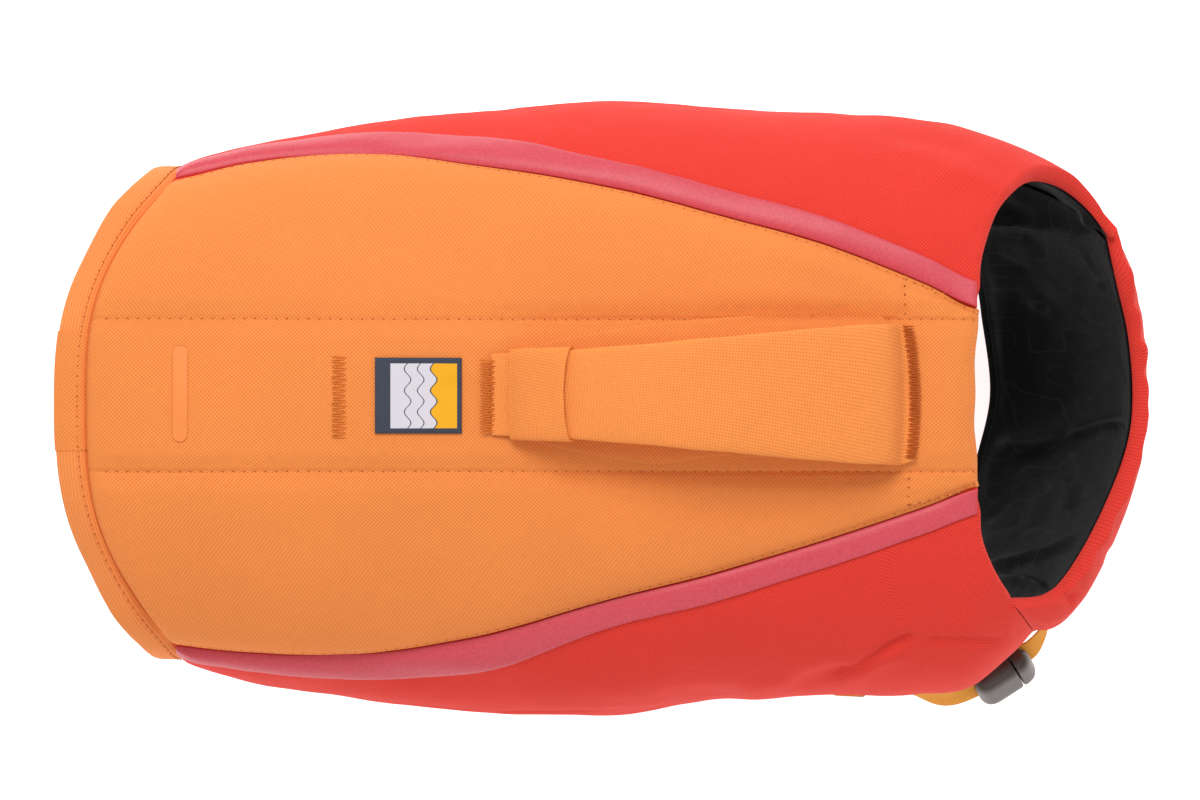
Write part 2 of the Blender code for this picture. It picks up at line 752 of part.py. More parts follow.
def band_piece(name, frames, finish):
    """One length of the rolled binding along its frames: (centre, away from the panel, up, along) each."""
    half = BAND_WIDTH / 2
    centres, sideways, upward, widths, thicks = [], [], [], [], []
    for centre, away, normal, _ in frames:
        flare = smoothstep((0.93 - normal.z) / 0.25) * smoothstep((normal.z + 0.3) / 0.5)
        droop = (away + normal * (BAND_FLARE * flare - 0.22)).normalized()
        centres.append(centre + droop * (half + 0.6 + 0.9 * flare))
        sideways.append(droop)
        upward.append((normal + away * 0.22).normalized())
        widths.append(half)
        thicks.append(BAND_THICK / 2)
    tube(name, centres, sideways, upward, widths, thicks, finish, sides=12, squareness=2.5)


def frame_at(y, near):
    """A frame of the binding moved along it to an exact place across the back."""
    centre, away, normal, along = near
    return centre + along * ((y - centre.y) / along.y), away, normal, along


def build_tail_band(back, sides):
    """The rolled binding on the tail edge, in three pieces."""
    places = tail_path(back, sides)
    frames = []
    for index, (centre, normal) in enumerate(places):
        before = places[max(index - 1, 0)][0]
        after = places[min(index + 1, len(places) - 1)][0]
        along = (after - before).normalized()
        away = along.cross(normal).normalized()
        if away.x > 0:
            away = -away
        normal = away.cross(along).normalized()
        if normal.dot(places[index][1]) < 0:
            normal = -normal
        frames.append((centre, away, normal, along))

    left = [frame for frame in frames if frame[0].y > BAND_CENTRE[0] + 0.5]
    centre = [frame for frame in frames if BAND_CENTRE[1] < frame[0].y < BAND_CENTRE[0]]
    right = [frame for frame in frames if frame[0].y < BAND_CENTRE[1] - 0.5]
    band_piece("tail_band_left", left + [frame_at(BAND_CENTRE[0] + SEAM_GAP, left[-1])], "ribbed_binding")
    band_piece("tail_band_right", [frame_at(BAND_CENTRE[1] - SEAM_GAP, right[0])] + right, "ribbed_binding")
    ends = [frame_at(BAND_CENTRE[0] - SEAM_GAP, centre[0]), frame_at(BAND_CENTRE[1] + SEAM_GAP, centre[-1])]
    band_piece("tail_band_centre", ends[:1] + centre + ends[1:], "orange_cloth")


def handle_frame(back, x):
    """The handle's centre, its up direction and its sizes at a place along it."""
    rise = table_value(HANDLE, "rise", x)
    thick = table_value(HANDLE, "thick", x)
    half = table_value(HANDLE, "half", x)
    ground = max(back.outer(*on_back(x, y)).z for y in (HANDLE_MIDDLE - half * 0.8, HANDLE_MIDDLE,
                                                       HANDLE_MIDDLE + half * 0.8))
    base = BASE_THICK + SEAM_GAP if HANDLE_BASE[0].x <= x <= HANDLE_BASE[-1].x else 0.0
    return Vector((x, HANDLE_MIDDLE, ground + base + max(rise, SEAM_GAP) + thick / 2)), thick, half


def handle_places():
    """The places along the handle where it has a ring."""
    places = [row.x for row in HANDLE]
    return sorted(places + [-34.0, -20.5, 0.0, 28.0, 62.0, 95.0, 118.0])


def build_handle(back, ground):
    """The arched handle, the sleeve at its tail end and the flat layer under it."""
    places = handle_places()
    rings = [handle_frame(back, x) for x in places]
    centres = [ring[0] for ring in rings]
    upward = []
    for index in range(len(centres)):
        along = centres[min(index + 1, len(centres) - 1)] - centres[max(index - 1, 0)]
        upward.append(Vector((-along.z, 0.0, along.x)).normalized())
    sideways = [Vector((0.0, 1.0, 0.0))] * len(centres)
    tube("handle", centres, sideways, upward, [ring[2] for ring in rings], [ring[1] / 2 for ring in rings],
         "orange_cloth", sides=16, squareness=3.2)

    grid = [[on_back(x, HANDLE_MIDDLE + table_value(HANDLE_BASE, "half", x) * t) for t in steps(8, -1.0, 1.0)]
            for x in steps(12, HANDLE_BASE[0].x, HANDLE_BASE[-1].x)]
    laid("handle_base", back, grid, BASE_THICK, "orange_cloth", ground)
    build_cuff(places, centres, upward, rings)


def build_cuff(places, centres, upward, rings):
    """The sleeve round the handle's tail end, open at both ends."""
    bm = bmesh.new()
    chosen = [index for index, x in enumerate(places) if CUFF_SPAN[0] + 6.0 <= x <= CUFF_SPAN[1]]
    sides = 20
    rings_in, rings_out = [], []
    for index in chosen:
        for rings_made, extra in ((rings_in, SEAM_GAP), (rings_out, SEAM_GAP + CUFF_WALL)):
            ring = []
            for turn in range(sides):
                angle = 2.0 * math.pi * (turn + 0.5) / sides
                cosine, sine = math.cos(angle), math.sin(angle)
                radius = (abs(cosine) ** 3.2 + abs(sine) ** 3.2) ** (-1.0 / 3.2)
                point = (centres[index] + Vector((0.0, 1.0, 0.0)) * ((rings[index][2] + extra) * cosine * radius)
                         + upward[index] * ((rings[index][1] / 2 + extra) * sine * radius))
                ring.append(bm.verts.new(point))
            rings_made.append(ring)
    for made in (rings_in, rings_out):
        for ring, following in zip(made, made[1:]):
            for turn in range(sides):
                after = (turn + 1) % sides
                bm.faces.new((ring[turn], ring[after], following[after], following[turn]))
    for end in (0, -1):
        for turn in range(sides):
            after = (turn + 1) % sides
            inner, outer = rings_in[end], rings_out[end]
            bm.faces.new((inner[turn], inner[after], outer[after], outer[turn]))
    add_object("handle_cuff", mesh_from_bmesh("handle_cuff", bm), "orange_cloth")


def box_object(name, low, high, bevel=0.0, segments=2):
    """A box between two corners as a loose object, with its edges rounded."""
    bm = bmesh.new()
    bmesh.ops.create_cube(bm, size=1.0)
    size = Vector(high) - Vector(low)
    bmesh.ops.scale(bm, vec=size, verts=bm.verts)
    bmesh.ops.translate(bm, vec=(Vector(high) + Vector(low)) / 2, verts=bm.verts)
    if bevel:
        bmesh.ops.bevel(bm, geom=bm.edges[:], offset=bevel, segments=segments, profile=0.5, affect='EDGES')
    mesh = mesh_from_bmesh(name, bm)
    made = bpy.data.objects.new(name, mesh)
    collection("cutters").objects.link(made)
    return made


def combine(target, tool, operation):
    """Join, cut or keep a shape with another, and remove the tool."""
    change = target.modifiers.new("change", 'BOOLEAN')
    change.operation = operation
    change.solver = 'EXACT'
    change.object = tool
    bpy.context.view_layer.update()
    mesh = bpy.data.meshes.new_from_object(target.evaluated_get(bpy.context.evaluated_depsgraph_get()))
    target.modifiers.remove(change)
    target.data = mesh
    bpy.data.objects.remove(tool, do_unlink=True)


def finish_hard_piece(made, name, place):
    """Move a loose hard piece to its place and give it its node's name."""
    mesh = made.data
    mesh.transform(place)
    mesh.name = name
    bpy.data.objects.remove(made, do_unlink=True)
    mesh.shade_smooth()
    mesh.set_sharp_from_angle(angle=math.radians(35.0))
    return add_object(name, mesh, "grey_acetal")


def placement(centre, along, out):
    """The matrix that puts local x along a strap, local z straight out and local y across it, in metres."""
    along = along.normalized()
    out = (out - along * out.dot(along)).normalized()
    across = out.cross(along)
    return Matrix((
        (along.x, across.x, out.x, centre.x * MM),
        (along.y, across.y, out.y, centre.y * MM),
        (along.z, across.z, out.z, centre.z * MM),
        (0.0, 0.0, 0.0, 1.0),
    ))


# A side-release buckle for belly webbing, in its own frame: x along the strap, y across it, z straight out.
BUCKLE_BAR = 26.0
BUCKLE_HALF = 17.0
BUCKLE_THICK = 9.0
FRAME_THICK = 4.0
BAR_THICK = 3.6
BUCKLE_SPLIT = 5.0


def belly_buckle(word, place):
    """The socket and the plug of a belly strap's buckle."""
    half, thick = BUCKLE_HALF, BUCKLE_THICK / 2
    web = BELLY_WEB_WIDTH / 2 + 1.2
    slot_near, slot_far = BUCKLE_BAR - BAR_THICK / 2 - 4.2, BUCKLE_BAR - BAR_THICK / 2
    frame_end = BUCKLE_BAR + BAR_THICK / 2

    socket = box_object("socket", (-18.0, -half, -thick), (BUCKLE_SPLIT, half, thick), 2.0)
    frame = box_object("frame", (-frame_end, -half, -FRAME_THICK / 2), (-12.0, half, FRAME_THICK / 2), 1.2)
    combine(socket, frame, 'UNION')
    combine(socket, box_object("slot", (-slot_far, -web, -20.0), (-slot_near, web, 20.0)), 'DIFFERENCE')
    for side in (1, -1):
        low = (-9.0, min(side * 11.5, side * 30.0), -20.0)
        high = (20.0, max(side * 11.5, side * 30.0), 20.0)
        combine(socket, box_object("notch", low, high), 'DIFFERENCE')
    finish_hard_piece(socket, f"belly_socket_{word}", place)

    start = BUCKLE_SPLIT + SEAM_GAP
    plug = box_object("plug", (start, -half + 1.5, -thick + 0.8), (18.0, half - 1.5, thick - 0.8), 1.6)
    combine(plug, box_object("frame", (12.0, -half, -FRAME_THICK / 2), (frame_end, half, FRAME_THICK / 2), 1.2),
            'UNION')
    combine(plug, box_object("slot", (slot_near, -web, -20.0), (slot_far, web, 20.0)), 'DIFFERENCE')
    for side in (1, -1):
        low = (-9.0 + SEAM_GAP, min(side * 11.8, side * half), -2.8)
        high = (start + 4.0, max(side * 11.8, side * half), 2.8)
        combine(plug, box_object("prong", low, high, 1.0), 'UNION')
    finish_hard_piece(plug, f"belly_plug_{word}", place)


def loop_path(corner, layer=WEBBING, tail=17.0):
    """Webbing round a bar, in the bar's frame: x away from the buckle, z out.

    It comes in outside and ends inside. corner is how far the bar's corner lies from its middle.
    """
    radius = corner + SEAM_GAP + 0.15 + layer / 2
    close = layer / 2 + 0.2
    path = [(24.0, -close), (14.0, -close), (6.0, -radius * 0.8), (1.5, -radius)]
    path = [(x, -z) for x, z in path]
    for turn in steps(6, 90.0, 270.0):
        path.append((radius * math.cos(math.radians(turn)), radius * math.sin(math.radians(turn))))
    path += [(1.5, -radius), (6.0, -radius * 0.8), (tail, -close)]
    return path


def clear_of(ground, points, across, width, out_of):
    """A strap's points on a panel, moved out until the whole width lies clear of the panel."""
    edges = [[point + step * (width * t) for t in steps(4, -0.5, 0.5)] for point, step in zip(points, across)]
    settled = ground.settle(edges, [[out] * 5 for out in out_of])
    lifts = [max((b - a).dot(out) for a, b in zip(row, placed))
             for row, placed, out in zip(edges, settled, out_of)]
    return [point + out * (lift + WEBBING / 2) for point, out, lift in zip(points, out_of, lifts)]


def ribbon(name, centres, across, width, thick, finish):
    """A flat strap: centres along it, one direction across it, and its face turned to follow the path."""
    inner, outer = [], []
    for index, centre in enumerate(centres):
        along = (centres[min(index + 1, len(centres) - 1)] - centres[max(index - 1, 0)]).normalized()
        out = along.cross(across[index]).normalized()
        inner.append([centre + across[index] * (width * t) - out * (thick / 2) for t in (-0.5, 0.5)])
        outer.append([centre + across[index] * (width * t) + out * (thick / 2) for t in (-0.5, 0.5)])
    return wall(name, inner, outer, finish)


def build_belly_straps(sides, grounds):
    """The two straps under the belly, each with a buckle in the middle."""
    for word, x in BELLY_STRAPS.items():
        size = station(x)
        bottom = size.top - size.depth - BELLY_DEPTH - 4.5
        middle = Vector((x, 0.0, bottom))
        for side in (1, -1):
            shell = sides[side]
            seam, hem = side_angles(size, side)
            places = steps(4, 0.84, 1.03)
            lengthwise = Vector((1.0, 0.0, 0.0))
            centres = clear_of(grounds[side], [shell.outer(x, v) for v in places], [lengthwise] * len(places),
                               BELLY_WEB_WIDTH, [shell.normal(x, v) for v in places])
            for angle in steps(7, hem + 0.16, math.radians(160.0)):
                v = (angle - seam) / (hem - seam)
                ease = 1.0 - smoothstep((angle - hem) / (math.radians(160.0) - hem))
                off = 4.0 + (shell.thickness(x, 1.0) + 2.6 - 4.0) * ease
                centres.append(shell.off(x, v, off))
            for away, up in loop_path(math.hypot(BAR_THICK, FRAME_THICK) / 2):
                centres.append(middle + Vector((0.0, side * (BUCKLE_BAR + away), -up)))
            across = [lengthwise] * len(centres)
            end = "left" if side > 0 else "right"
            ribbon(f"belly_strap_{word}_{end}", centres, across, BELLY_WEB_WIDTH, WEBBING, "amber_webbing")
        place = placement(middle, Vector((0.0, -1.0, 0.0)), Vector((0.0, 0.0, -1.0)))
        belly_buckle(word, place)


# The neck buckle: a smooth rounded housing beside the right shoulder, tilted to face out and up.
NECK_BUCKLE_CENTRE = (193.5, -130.0, -134.5)
NECK_BUCKLE_ALONG = (0.84, 0.54, 0.0)
NECK_BUCKLE_TILT = 28.0
NECK_BUCKLE_HALF = (15.5, 13.5, 8.0)
NECK_BUCKLE_ROUND = 6.5
NECK_BUCKLE_SPLIT = 6.0
NECK_BAR = -2.5
NECK_BAR_DEPTH = -3.6


def neck_buckle_frame():
    """The neck buckle's centre and its directions along, across and out."""
    along = Vector(NECK_BUCKLE_ALONG).normalized()
    tilt = math.radians(NECK_BUCKLE_TILT)
    out = Vector((along.y, -along.x, 0.0)) * math.cos(tilt) + Vector((0.0, 0.0, math.sin(tilt)))
    return Vector(NECK_BUCKLE_CENTRE), along, out


def build_neck_buckle():
    """The neck strap's buckle: a socket with a bar for the side strap, and a plug for the chest strap."""
    centre, along, out = neck_buckle_frame()
    place = placement(centre, along, out)
    length, half, thick = NECK_BUCKLE_HALF
    low, high = (-length, -half, -thick), (length, half, thick)
    web = NECK_WEB_WIDTH / 2 + 0.8

    socket = box_object("socket", low, high, NECK_BUCKLE_ROUND, 3)
    combine(socket, box_object("keep", (-40.0, -40.0, -40.0), (NECK_BUCKLE_SPLIT, 40.0, 40.0)), 'INTERSECT')
    combine(socket, box_object("channel", (-40.0, -web, -40.0), (NECK_BAR + 4.8, web, NECK_BAR_DEPTH + 4.6)),
            'DIFFERENCE')
    bar = BAR_THICK / 2
    combine(socket, box_object("bar", (NECK_BAR - bar, -web - 1.0, NECK_BAR_DEPTH - bar),
                               (NECK_BAR + bar, web + 1.0, NECK_BAR_DEPTH + bar), 0.6), 'UNION')
    finish_hard_piece(socket, "neck_buckle_socket", place)

    plug = box_object("plug", low, high, NECK_BUCKLE_ROUND, 3)
    keep = box_object("keep", (NECK_BUCKLE_SPLIT + SEAM_GAP, -40.0, -40.0), (40.0, 40.0, 40.0))
    combine(plug, keep, 'INTERSECT')
    pocket_top = -5.2 + WEBBING * 2 + 0.9
    pocket = box_object("pocket", (NECK_BUCKLE_SPLIT + 4.0, -web, -5.2), (40.0, web, pocket_top))
    combine(plug, pocket, 'DIFFERENCE')
    finish_hard_piece(plug, "neck_buckle_plug", place)


def build_neck_straps(right, chest, grounds):
    """The neck strap: one length on the right side panel and one on the bib, with the buckle between."""
    centre, along, out = neck_buckle_frame()
    across_buckle = out.cross(along)
    up_panel = Vector((0.0, 0.0, 1.0))

    bar = centre + along * NECK_BAR + out * NECK_BAR_DEPTH
    loop = [bar - along * away + out * up for away, up in loop_path(math.hypot(1.8, 1.2), tail=13.0)]
    places = [(116.0, 0.74), (124.0, 0.765), (132.0, 0.79), (140.0, 0.815), (147.0, 0.84)]
    lying = [right.outer(*place) for place in places]
    centres = lying + [lying[-1].lerp(loop[0], 0.5)] + loop
    upward = across_buckle if across_buckle.z > 0 else -across_buckle
    across = [up_panel.lerp(upward, smoothstep((index - 3.0) / 3.0)).normalized()
              for index in range(len(centres))]
    away = [right.normal(*place) for place in places] + [right.normal(*places[-1])] * 2
    start = len(away)
    centres[:start] = clear_of(grounds[-1], centres[:start], across[:start], NECK_WEB_WIDTH, away)
    ribbon("neck_strap_side", centres, across, NECK_WEB_WIDTH, WEBBING, "amber_webbing")

    pocket = centre + out * (-5.2 + (WEBBING * 2 + 0.9) / 2)
    inside = pocket + along * (NECK_BUCKLE_SPLIT + 4.0 + 1.0)
    leaving = pocket + along * (NECK_BUCKLE_HALF[0] + 2.0)
    spots = [(6.95, 0.86), (6.75, 0.81), (6.5, 0.76), (6.25, 0.72), (6.0, 0.69)]
    on_bib = clear_of(grounds["chest"], [chest.outer(*spot) for spot in spots], [up_panel] * len(spots),
                      NECK_WEB_WIDTH, [chest.normal(*spot) for spot in spots])
    between = leaving.lerp(on_bib[0], 0.5) + chest.normal(*spots[0]) * 2.5
    centres = [inside, leaving, between] + on_bib
    across = []
    for index in range(len(centres)):
        share = smoothstep((index - 1.0) / 2.5)
        start = across_buckle if across_buckle.z > 0 else -across_buckle
        across.append(start.lerp(up_panel, share).normalized())
    ribbon("neck_strap_chest", centres, across, NECK_WEB_WIDTH, WEBBING, "amber_webbing")


def main():
    """Build the whole jacket."""
    clear_scene()
    back = make_back()
    sides = {1: make_side(1), -1: make_side(-1)}
    chest = make_chest(sides[1], sides[-1])
    back_ground = build_back(back)
    grounds = {side: build_side(side, shell) for side, shell in sides.items()}
    grounds["chest"] = build_chest(chest)
    build_neck_linings(sides, grounds)
    build_tail_band(back, sides)
    build_handle(back, back_ground)
    build_belly_straps(sides, grounds)
    build_neck_buckle()
    build_neck_straps(sides[-1], chest, grounds)
    leftover = bpy.data.collections.get("cutters")
    if leftover:
        bpy.data.collections.remove(leftover)


main()
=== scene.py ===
"""Dog life jacket, filled out as when worn: cloth, padding, webbing, stitching and buckles on the solids.

Frame: +X points to the wearer's head, +Y to the wearer's left and +Z up, with the origin on the back panel's
inner face. Sizes are in millimetres until a mesh is made, and MM turns them into metres.
"""
import logging
import math
from dataclasses import dataclass
from enum import Enum
from functools import cache, cached_property, partial
from typing import Any, Mapping, NamedTuple, Optional, Sequence

import bpy
import numpy as np
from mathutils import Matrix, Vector, noise


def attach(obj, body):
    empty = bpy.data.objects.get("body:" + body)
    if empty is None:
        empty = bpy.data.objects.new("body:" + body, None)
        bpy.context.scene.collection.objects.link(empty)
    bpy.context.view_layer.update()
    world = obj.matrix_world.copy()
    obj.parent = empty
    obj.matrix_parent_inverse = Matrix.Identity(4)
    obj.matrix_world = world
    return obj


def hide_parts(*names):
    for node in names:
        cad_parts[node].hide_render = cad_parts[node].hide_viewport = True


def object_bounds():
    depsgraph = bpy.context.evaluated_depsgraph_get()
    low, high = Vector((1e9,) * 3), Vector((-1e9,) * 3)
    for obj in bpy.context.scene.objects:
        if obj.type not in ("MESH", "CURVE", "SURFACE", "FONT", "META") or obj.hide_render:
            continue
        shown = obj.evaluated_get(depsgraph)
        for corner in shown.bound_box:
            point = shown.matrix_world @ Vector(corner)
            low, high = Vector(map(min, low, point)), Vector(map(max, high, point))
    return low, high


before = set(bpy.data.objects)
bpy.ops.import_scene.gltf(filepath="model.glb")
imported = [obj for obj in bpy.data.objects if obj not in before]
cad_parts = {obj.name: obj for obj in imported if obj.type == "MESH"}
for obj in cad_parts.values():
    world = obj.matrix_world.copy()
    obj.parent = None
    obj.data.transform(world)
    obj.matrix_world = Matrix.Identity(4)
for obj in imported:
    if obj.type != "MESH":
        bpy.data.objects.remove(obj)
CAD_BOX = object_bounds()

LOG = logging.getLogger("dog_life_jacket")

Array = np.ndarray
MM = 0.001
# How far a sewn layer lies off the one under it, and the finer slit where two panels' skins meet at a seam.
SEAM_GAP = 0.3
SEAM_SLIT = 0.02
# How far a row of stitches lies above its cloth.
THREAD_LIFT = 0.05
# Faces that meet at a sharper angle than this, in degrees, keep a hard edge.
SHARP_EDGE = 50.0
UV_NAME = "cloth"
# Where the camera straight above stands: its height, and how far it is to the wearer's left.
CAMERA_HEIGHT = 3000.0
CAMERA_ACROSS = 1.84
# The middle of the wearer's body: how far forward it goes and how high it lies.
WEARER_FRONT = 180.0
WEARER_MIDDLE = -90.0
# The step each way on a panel over which its slope is measured, as a share of the panel's size that way.
STEP = 0.004
UP = np.array((0.0, 0.0, 1.0))


class Side(Enum):
    """Which of the wearer's sides a piece is on: its value is the sign of y there."""

    LEFT = 1
    RIGHT = -1

    @property
    def word(self) -> str:
        """The side's name as node names spell it."""
        return self.name.lower()


class Slot(Enum):
    """The record's material slots."""

    ORANGE = "orange_cloth"
    RED = "red_cloth"
    PINK = "pink_reflective"
    BINDING = "ribbed_binding"
    LINING = "black_lining"
    WEBBING = "amber_webbing"
    ACETAL = "grey_acetal"
    LABEL = "woven_label"


class Space(Enum):
    """How the places of a crease are given: as seen from above, or along and across its panel."""

    PLAN = "plan"
    PANEL = "panel"


class Section(NamedTuple):
    """The filled-out figure across the body at one place along it."""

    x: float
    top: float
    depth: float
    side_left: float
    side_right: float
    seam_left: float
    seam_right: float
    hem: float


class Front(NamedTuple):
    """One place on a side panel's front outline, seen from the side, with the panel's thickness there."""

    x: float
    z: float
    foam: float


class Fold(NamedTuple):
    """A line across the bib: its place on the rim, in the middle and on the lower edge."""

    rim: tuple[float, float, float]
    middle: tuple[float, float, float]
    edge: tuple[float, float, float]


class Width(NamedTuple):
    """How wide a strip is at one place along the body."""

    x: float
    width: float


class Rise(NamedTuple):
    """The handle at one place along it: the gap under it, its thickness and its half width."""

    x: float
    rise: float
    thick: float
    half: float


SECTIONS = (
    Section(-236.0, -9.0, 66.0, 97.0, 104.0, 92.0, 98.0, -84.0),
    Section(-197.0, -5.0, 74.0, 103.0, 111.5, 98.5, 106.5, -97.0),
    Section(-160.0, -2.5, 84.0, 113.0, 123.0, 107.0, 111.0, -120.0),
    Section(-110.0, -0.5, 91.0, 122.0, 130.0, 111.5, 111.5, -140.0),
    Section(-60.0, 0.0, 94.0, 129.0, 136.0, 107.0, 104.5, -151.0),
    Section(0.0, 0.0, 95.0, 132.5, 137.0, 97.5, 89.0, -157.0),
    Section(60.0, 0.0, 95.0, 128.5, 129.0, 83.0, 73.5, -160.0),
    Section(110.0, -0.5, 94.0, 127.0, 128.0, 69.0, 59.0, -159.0),
    Section(150.0, -2.0, 92.0, 126.0, 128.0, 53.5, 46.0, -153.0),
    Section(173.0, -3.5, 90.0, 122.5, 126.0, 43.0, 37.5, -147.0),
    Section(190.0, -4.0, 89.0, 117.0, 110.8, 40.5, 34.0, -150.0),
    Section(205.0, -5.0, 88.0, 109.8, 95.0, 38.0, 29.0, -150.0),
    Section(220.0, -6.0, 87.0, 100.8, 84.0, 35.0, 26.0, -150.0),
    Section(232.0, -7.0, 86.0, 90.3, 74.0, 31.0, 23.0, -150.0),
    Section(242.0, -8.0, 85.0, 77.5, 64.0, 27.0, 20.0, -150.0),
)

FRONTS = {
    Side.LEFT: (
        Front(173.0, -6.6, 8.5),
        Front(173.3, -12.0, 8.5),
        Front(176.5, -17.0, 8.5),
        Front(180.5, -23.0, 8.5),
        Front(189.0, -34.0, 8.5),
        Front(203.0, -54.5, 8.5),
        Front(216.0, -70.0, 7.6),
        Front(228.0, -82.0, 5.6),
        Front(240.0, -90.0, 3.6),
        Front(240.0, -97.0, 3.6),
        Front(232.0, -109.0, 5.2),
        Front(221.0, -119.0, 7.0),
        Front(209.0, -127.0, 7.6),
        Front(196.0, -134.0, 7.6),
        Front(182.0, -140.0, 7.6),
        Front(165.0, -147.0, 7.0),
    ),
    Side.RIGHT: (
        Front(173.0, -6.0, 8.5),
        Front(173.6, -10.5, 8.5),
        Front(178.0, -15.6, 8.5),
        Front(184.0, -23.5, 8.5),
        Front(189.5, -33.0, 8.5),
        Front(194.5, -50.0, 8.5),
        Front(197.0, -70.0, 8.5),
        Front(195.0, -86.0, 8.5),
        Front(189.0, -97.0, 8.0),
        Front(182.0, -108.0, 7.6),
        Front(174.0, -124.0, 7.6),
        Front(163.0, -146.0, 7.0),
    ),
}
# The rows of each front outline that the bib is sewn to.
BIB_ROWS = {Side.LEFT: (9, 13), Side.RIGHT: (4, 8)}

FOLDS = (
    Fold((245.0, 58.0, -97.0), (236.0, 68.0, -140.0), (190.0, 80.0, -165.0)),
    Fold((251.3, 33.0, -106.0), (241.0, 38.0, -163.0), (189.0, 46.0, -192.0)),
    Fold((254.0, 5.0, -111.0), (241.5, 4.0, -175.0), (188.0, 5.0, -205.0)),
    Fold((251.3, -18.0, -106.0), (240.5, -22.0, -165.0), (188.0, -30.0, -198.0)),
    Fold((241.3, -43.5, -94.0), (235.0, -53.0, -143.0), (188.5, -57.0, -180.0)),
    Fold((226.0, -71.0, -77.0), (224.0, -80.0, -115.0), (189.0, -76.0, -156.0)),
    Fold((210.0, -88.8, -59.0), (211.5, -96.5, -88.0), (190.0, -92.0, -127.0)),
)

TRIM_WIDTHS = (
    Width(-197.0, 8.0),
    Width(-160.0, 10.0),
    Width(-110.0, 14.0),
    Width(-60.0, 16.0),
    Width(0.0, 10.5),
    Width(60.0, 10.0),
    Width(173.0, 9.5),
)

HANDLE_RISES = (
    Rise(-53.5, 0.3, 1.8, 18.6),
    Rise(-47.0, 0.3, 2.0, 18.9),
    Rise(-40.0, 1.6, 3.0, 19.2),
    Rise(-28.0, 7.5, 5.0, 19.6),
    Rise(-13.0, 14.0, 6.5, 20.0),
    Rise(12.0, 20.0, 8.0, 22.4),
    Rise(45.0, 23.0, 9.0, 25.4),
    Rise(80.0, 21.5, 9.0, 28.4),
    Rise(108.0, 16.0, 8.5, 30.6),
    Rise(126.0, 9.0, 7.0, 31.8),
    Rise(135.0, 3.2, 4.6, 32.2),
    Rise(140.0, 0.3, 2.0, 32.0),
    Rise(148.5, 0.3, 1.0, 30.0),
)

BASE_WIDTHS = (
    Width(-38.0, 19.6),
    Width(0.0, 27.6),
    Width(22.0, 31.0),
    Width(50.0, 33.2),
    Width(132.0, 35.6),
)


# -----------------------------------------------------------------------------
# Numbers and curves


def smoothstep(value: Array) -> Array:
    """Ease from 0 to 1 as value goes from 0 to 1."""
    value = np.clip(value, 0.0, 1.0)
    return value * value * (3.0 - 2.0 * value)


def unit(vectors: Array) -> Array:
    """Vectors of length 1, along the last axis."""
    return vectors / np.maximum(np.linalg.norm(vectors, axis=-1, keepdims=True), 1e-9)


def matched(first: Any, second: Any) -> tuple[Array, Array]:
    """Two sets of numbers as arrays of one shape."""
    first, second = np.broadcast_arrays(np.asarray(first, float), np.asarray(second, float))
    return first, second


def column(rows: Sequence[Any], name: str) -> Array:
    """One named column of a table."""
    return np.array([getattr(row, name) for row in rows], float)


def spline(knots: Array, values: Array, at: Array) -> Array:
    """A smooth curve through values at knots, held straight past its ends.

    Args:
        knots: The places of the values, rising.
        values: A number for each knot, or for each knot a row with an entry for every place in at.
        at: The places to read.

    Returns:
        The curve's value at each place.
    """
    gaps = np.diff(knots)
    shape = (-1,) + (1,) * (values.ndim - 1)
    slopes = np.diff(values, axis=0) / gaps.reshape(shape)
    tangents = np.empty_like(values)
    tangents[0], tangents[-1] = slopes[0], slopes[-1]
    before, after = gaps[:-1].reshape(shape), gaps[1:].reshape(shape)
    tangents[1:-1] = (slopes[:-1] * after + slopes[1:] * before) / (before + after)

    index = np.searchsorted(knots[1:-1], at, side="left")
    span = gaps[index]
    place = (at - knots[index]) / span
    t = np.clip(place, 0.0, 1.0)
    beyond = place - t
    if values.ndim == 1:
        low, high = (index,), (index + 1,)
    else:
        entry = np.arange(len(at))
        low, high = (index, entry), (index + 1, entry)
    if values.ndim == 3:
        t, beyond, span = t[:, None], beyond[:, None], span[:, None]
    return (values[low] * (2 * t ** 3 - 3 * t ** 2 + 1) + values[high] * (3 * t ** 2 - 2 * t ** 3)
            + tangents[low] * span * (t ** 3 - 2 * t ** 2 + t + np.minimum(beyond, 0.0))
            + tangents[high] * span * (t ** 3 - t ** 2 + np.maximum(beyond, 0.0)))


def table_value(rows: Sequence[Any], name: str, x: Array) -> Array:
    """One column of a table at places between its rows."""
    return spline(column(rows, "x"), column(rows, name), np.atleast_1d(np.asarray(x, float)))


def chords(points: Array) -> Array:
    """How far along a line each of its points lies."""
    return np.concatenate(([0.0], np.cumsum(np.linalg.norm(np.diff(points, axis=0), axis=1))))


def refined(points: Array, count: int, beside: Optional[Array] = None) -> Array:
    """A smooth line through points, as evenly spaced points.

    Args:
        points: The points to pass through, one a row.
        count: How many points the line gets.
        beside: The line whose length spaces the points, or None for the points' own.

    Returns:
        The new points, one a row.
    """
    knots = chords(points if beside is None else beside)
    at = np.linspace(0.0, knots[-1], count)
    return np.stack([spline(knots, points[:, axis], at) for axis in range(points.shape[1])], axis=1)


def crowded(count: int, low: float, high: float, share: float = 0.6) -> Array:
    """Places from low to high that lie closer together near both ends."""
    t = np.linspace(0.0, 1.0, count)
    return low + (high - low) * (t - share * np.sin(2.0 * math.pi * t) / (2.0 * math.pi))


def ripples(points: Array, scale: float, seed: int) -> Array:
    """Smooth noise at each point.

    Args:
        points: The places, in millimetres.
        scale: The size of one swell in millimetres.
        seed: Which noise to read, so that the same number always gives the same one.

    Returns:
        A number from about -1 to 1 for each point.
    """
    places = (points.reshape(-1, 3) / scale + seed * 17.31).tolist()
    return np.array([noise.noise(Vector(place)) for place in places]).reshape(points.shape[:-1]) * 1.6


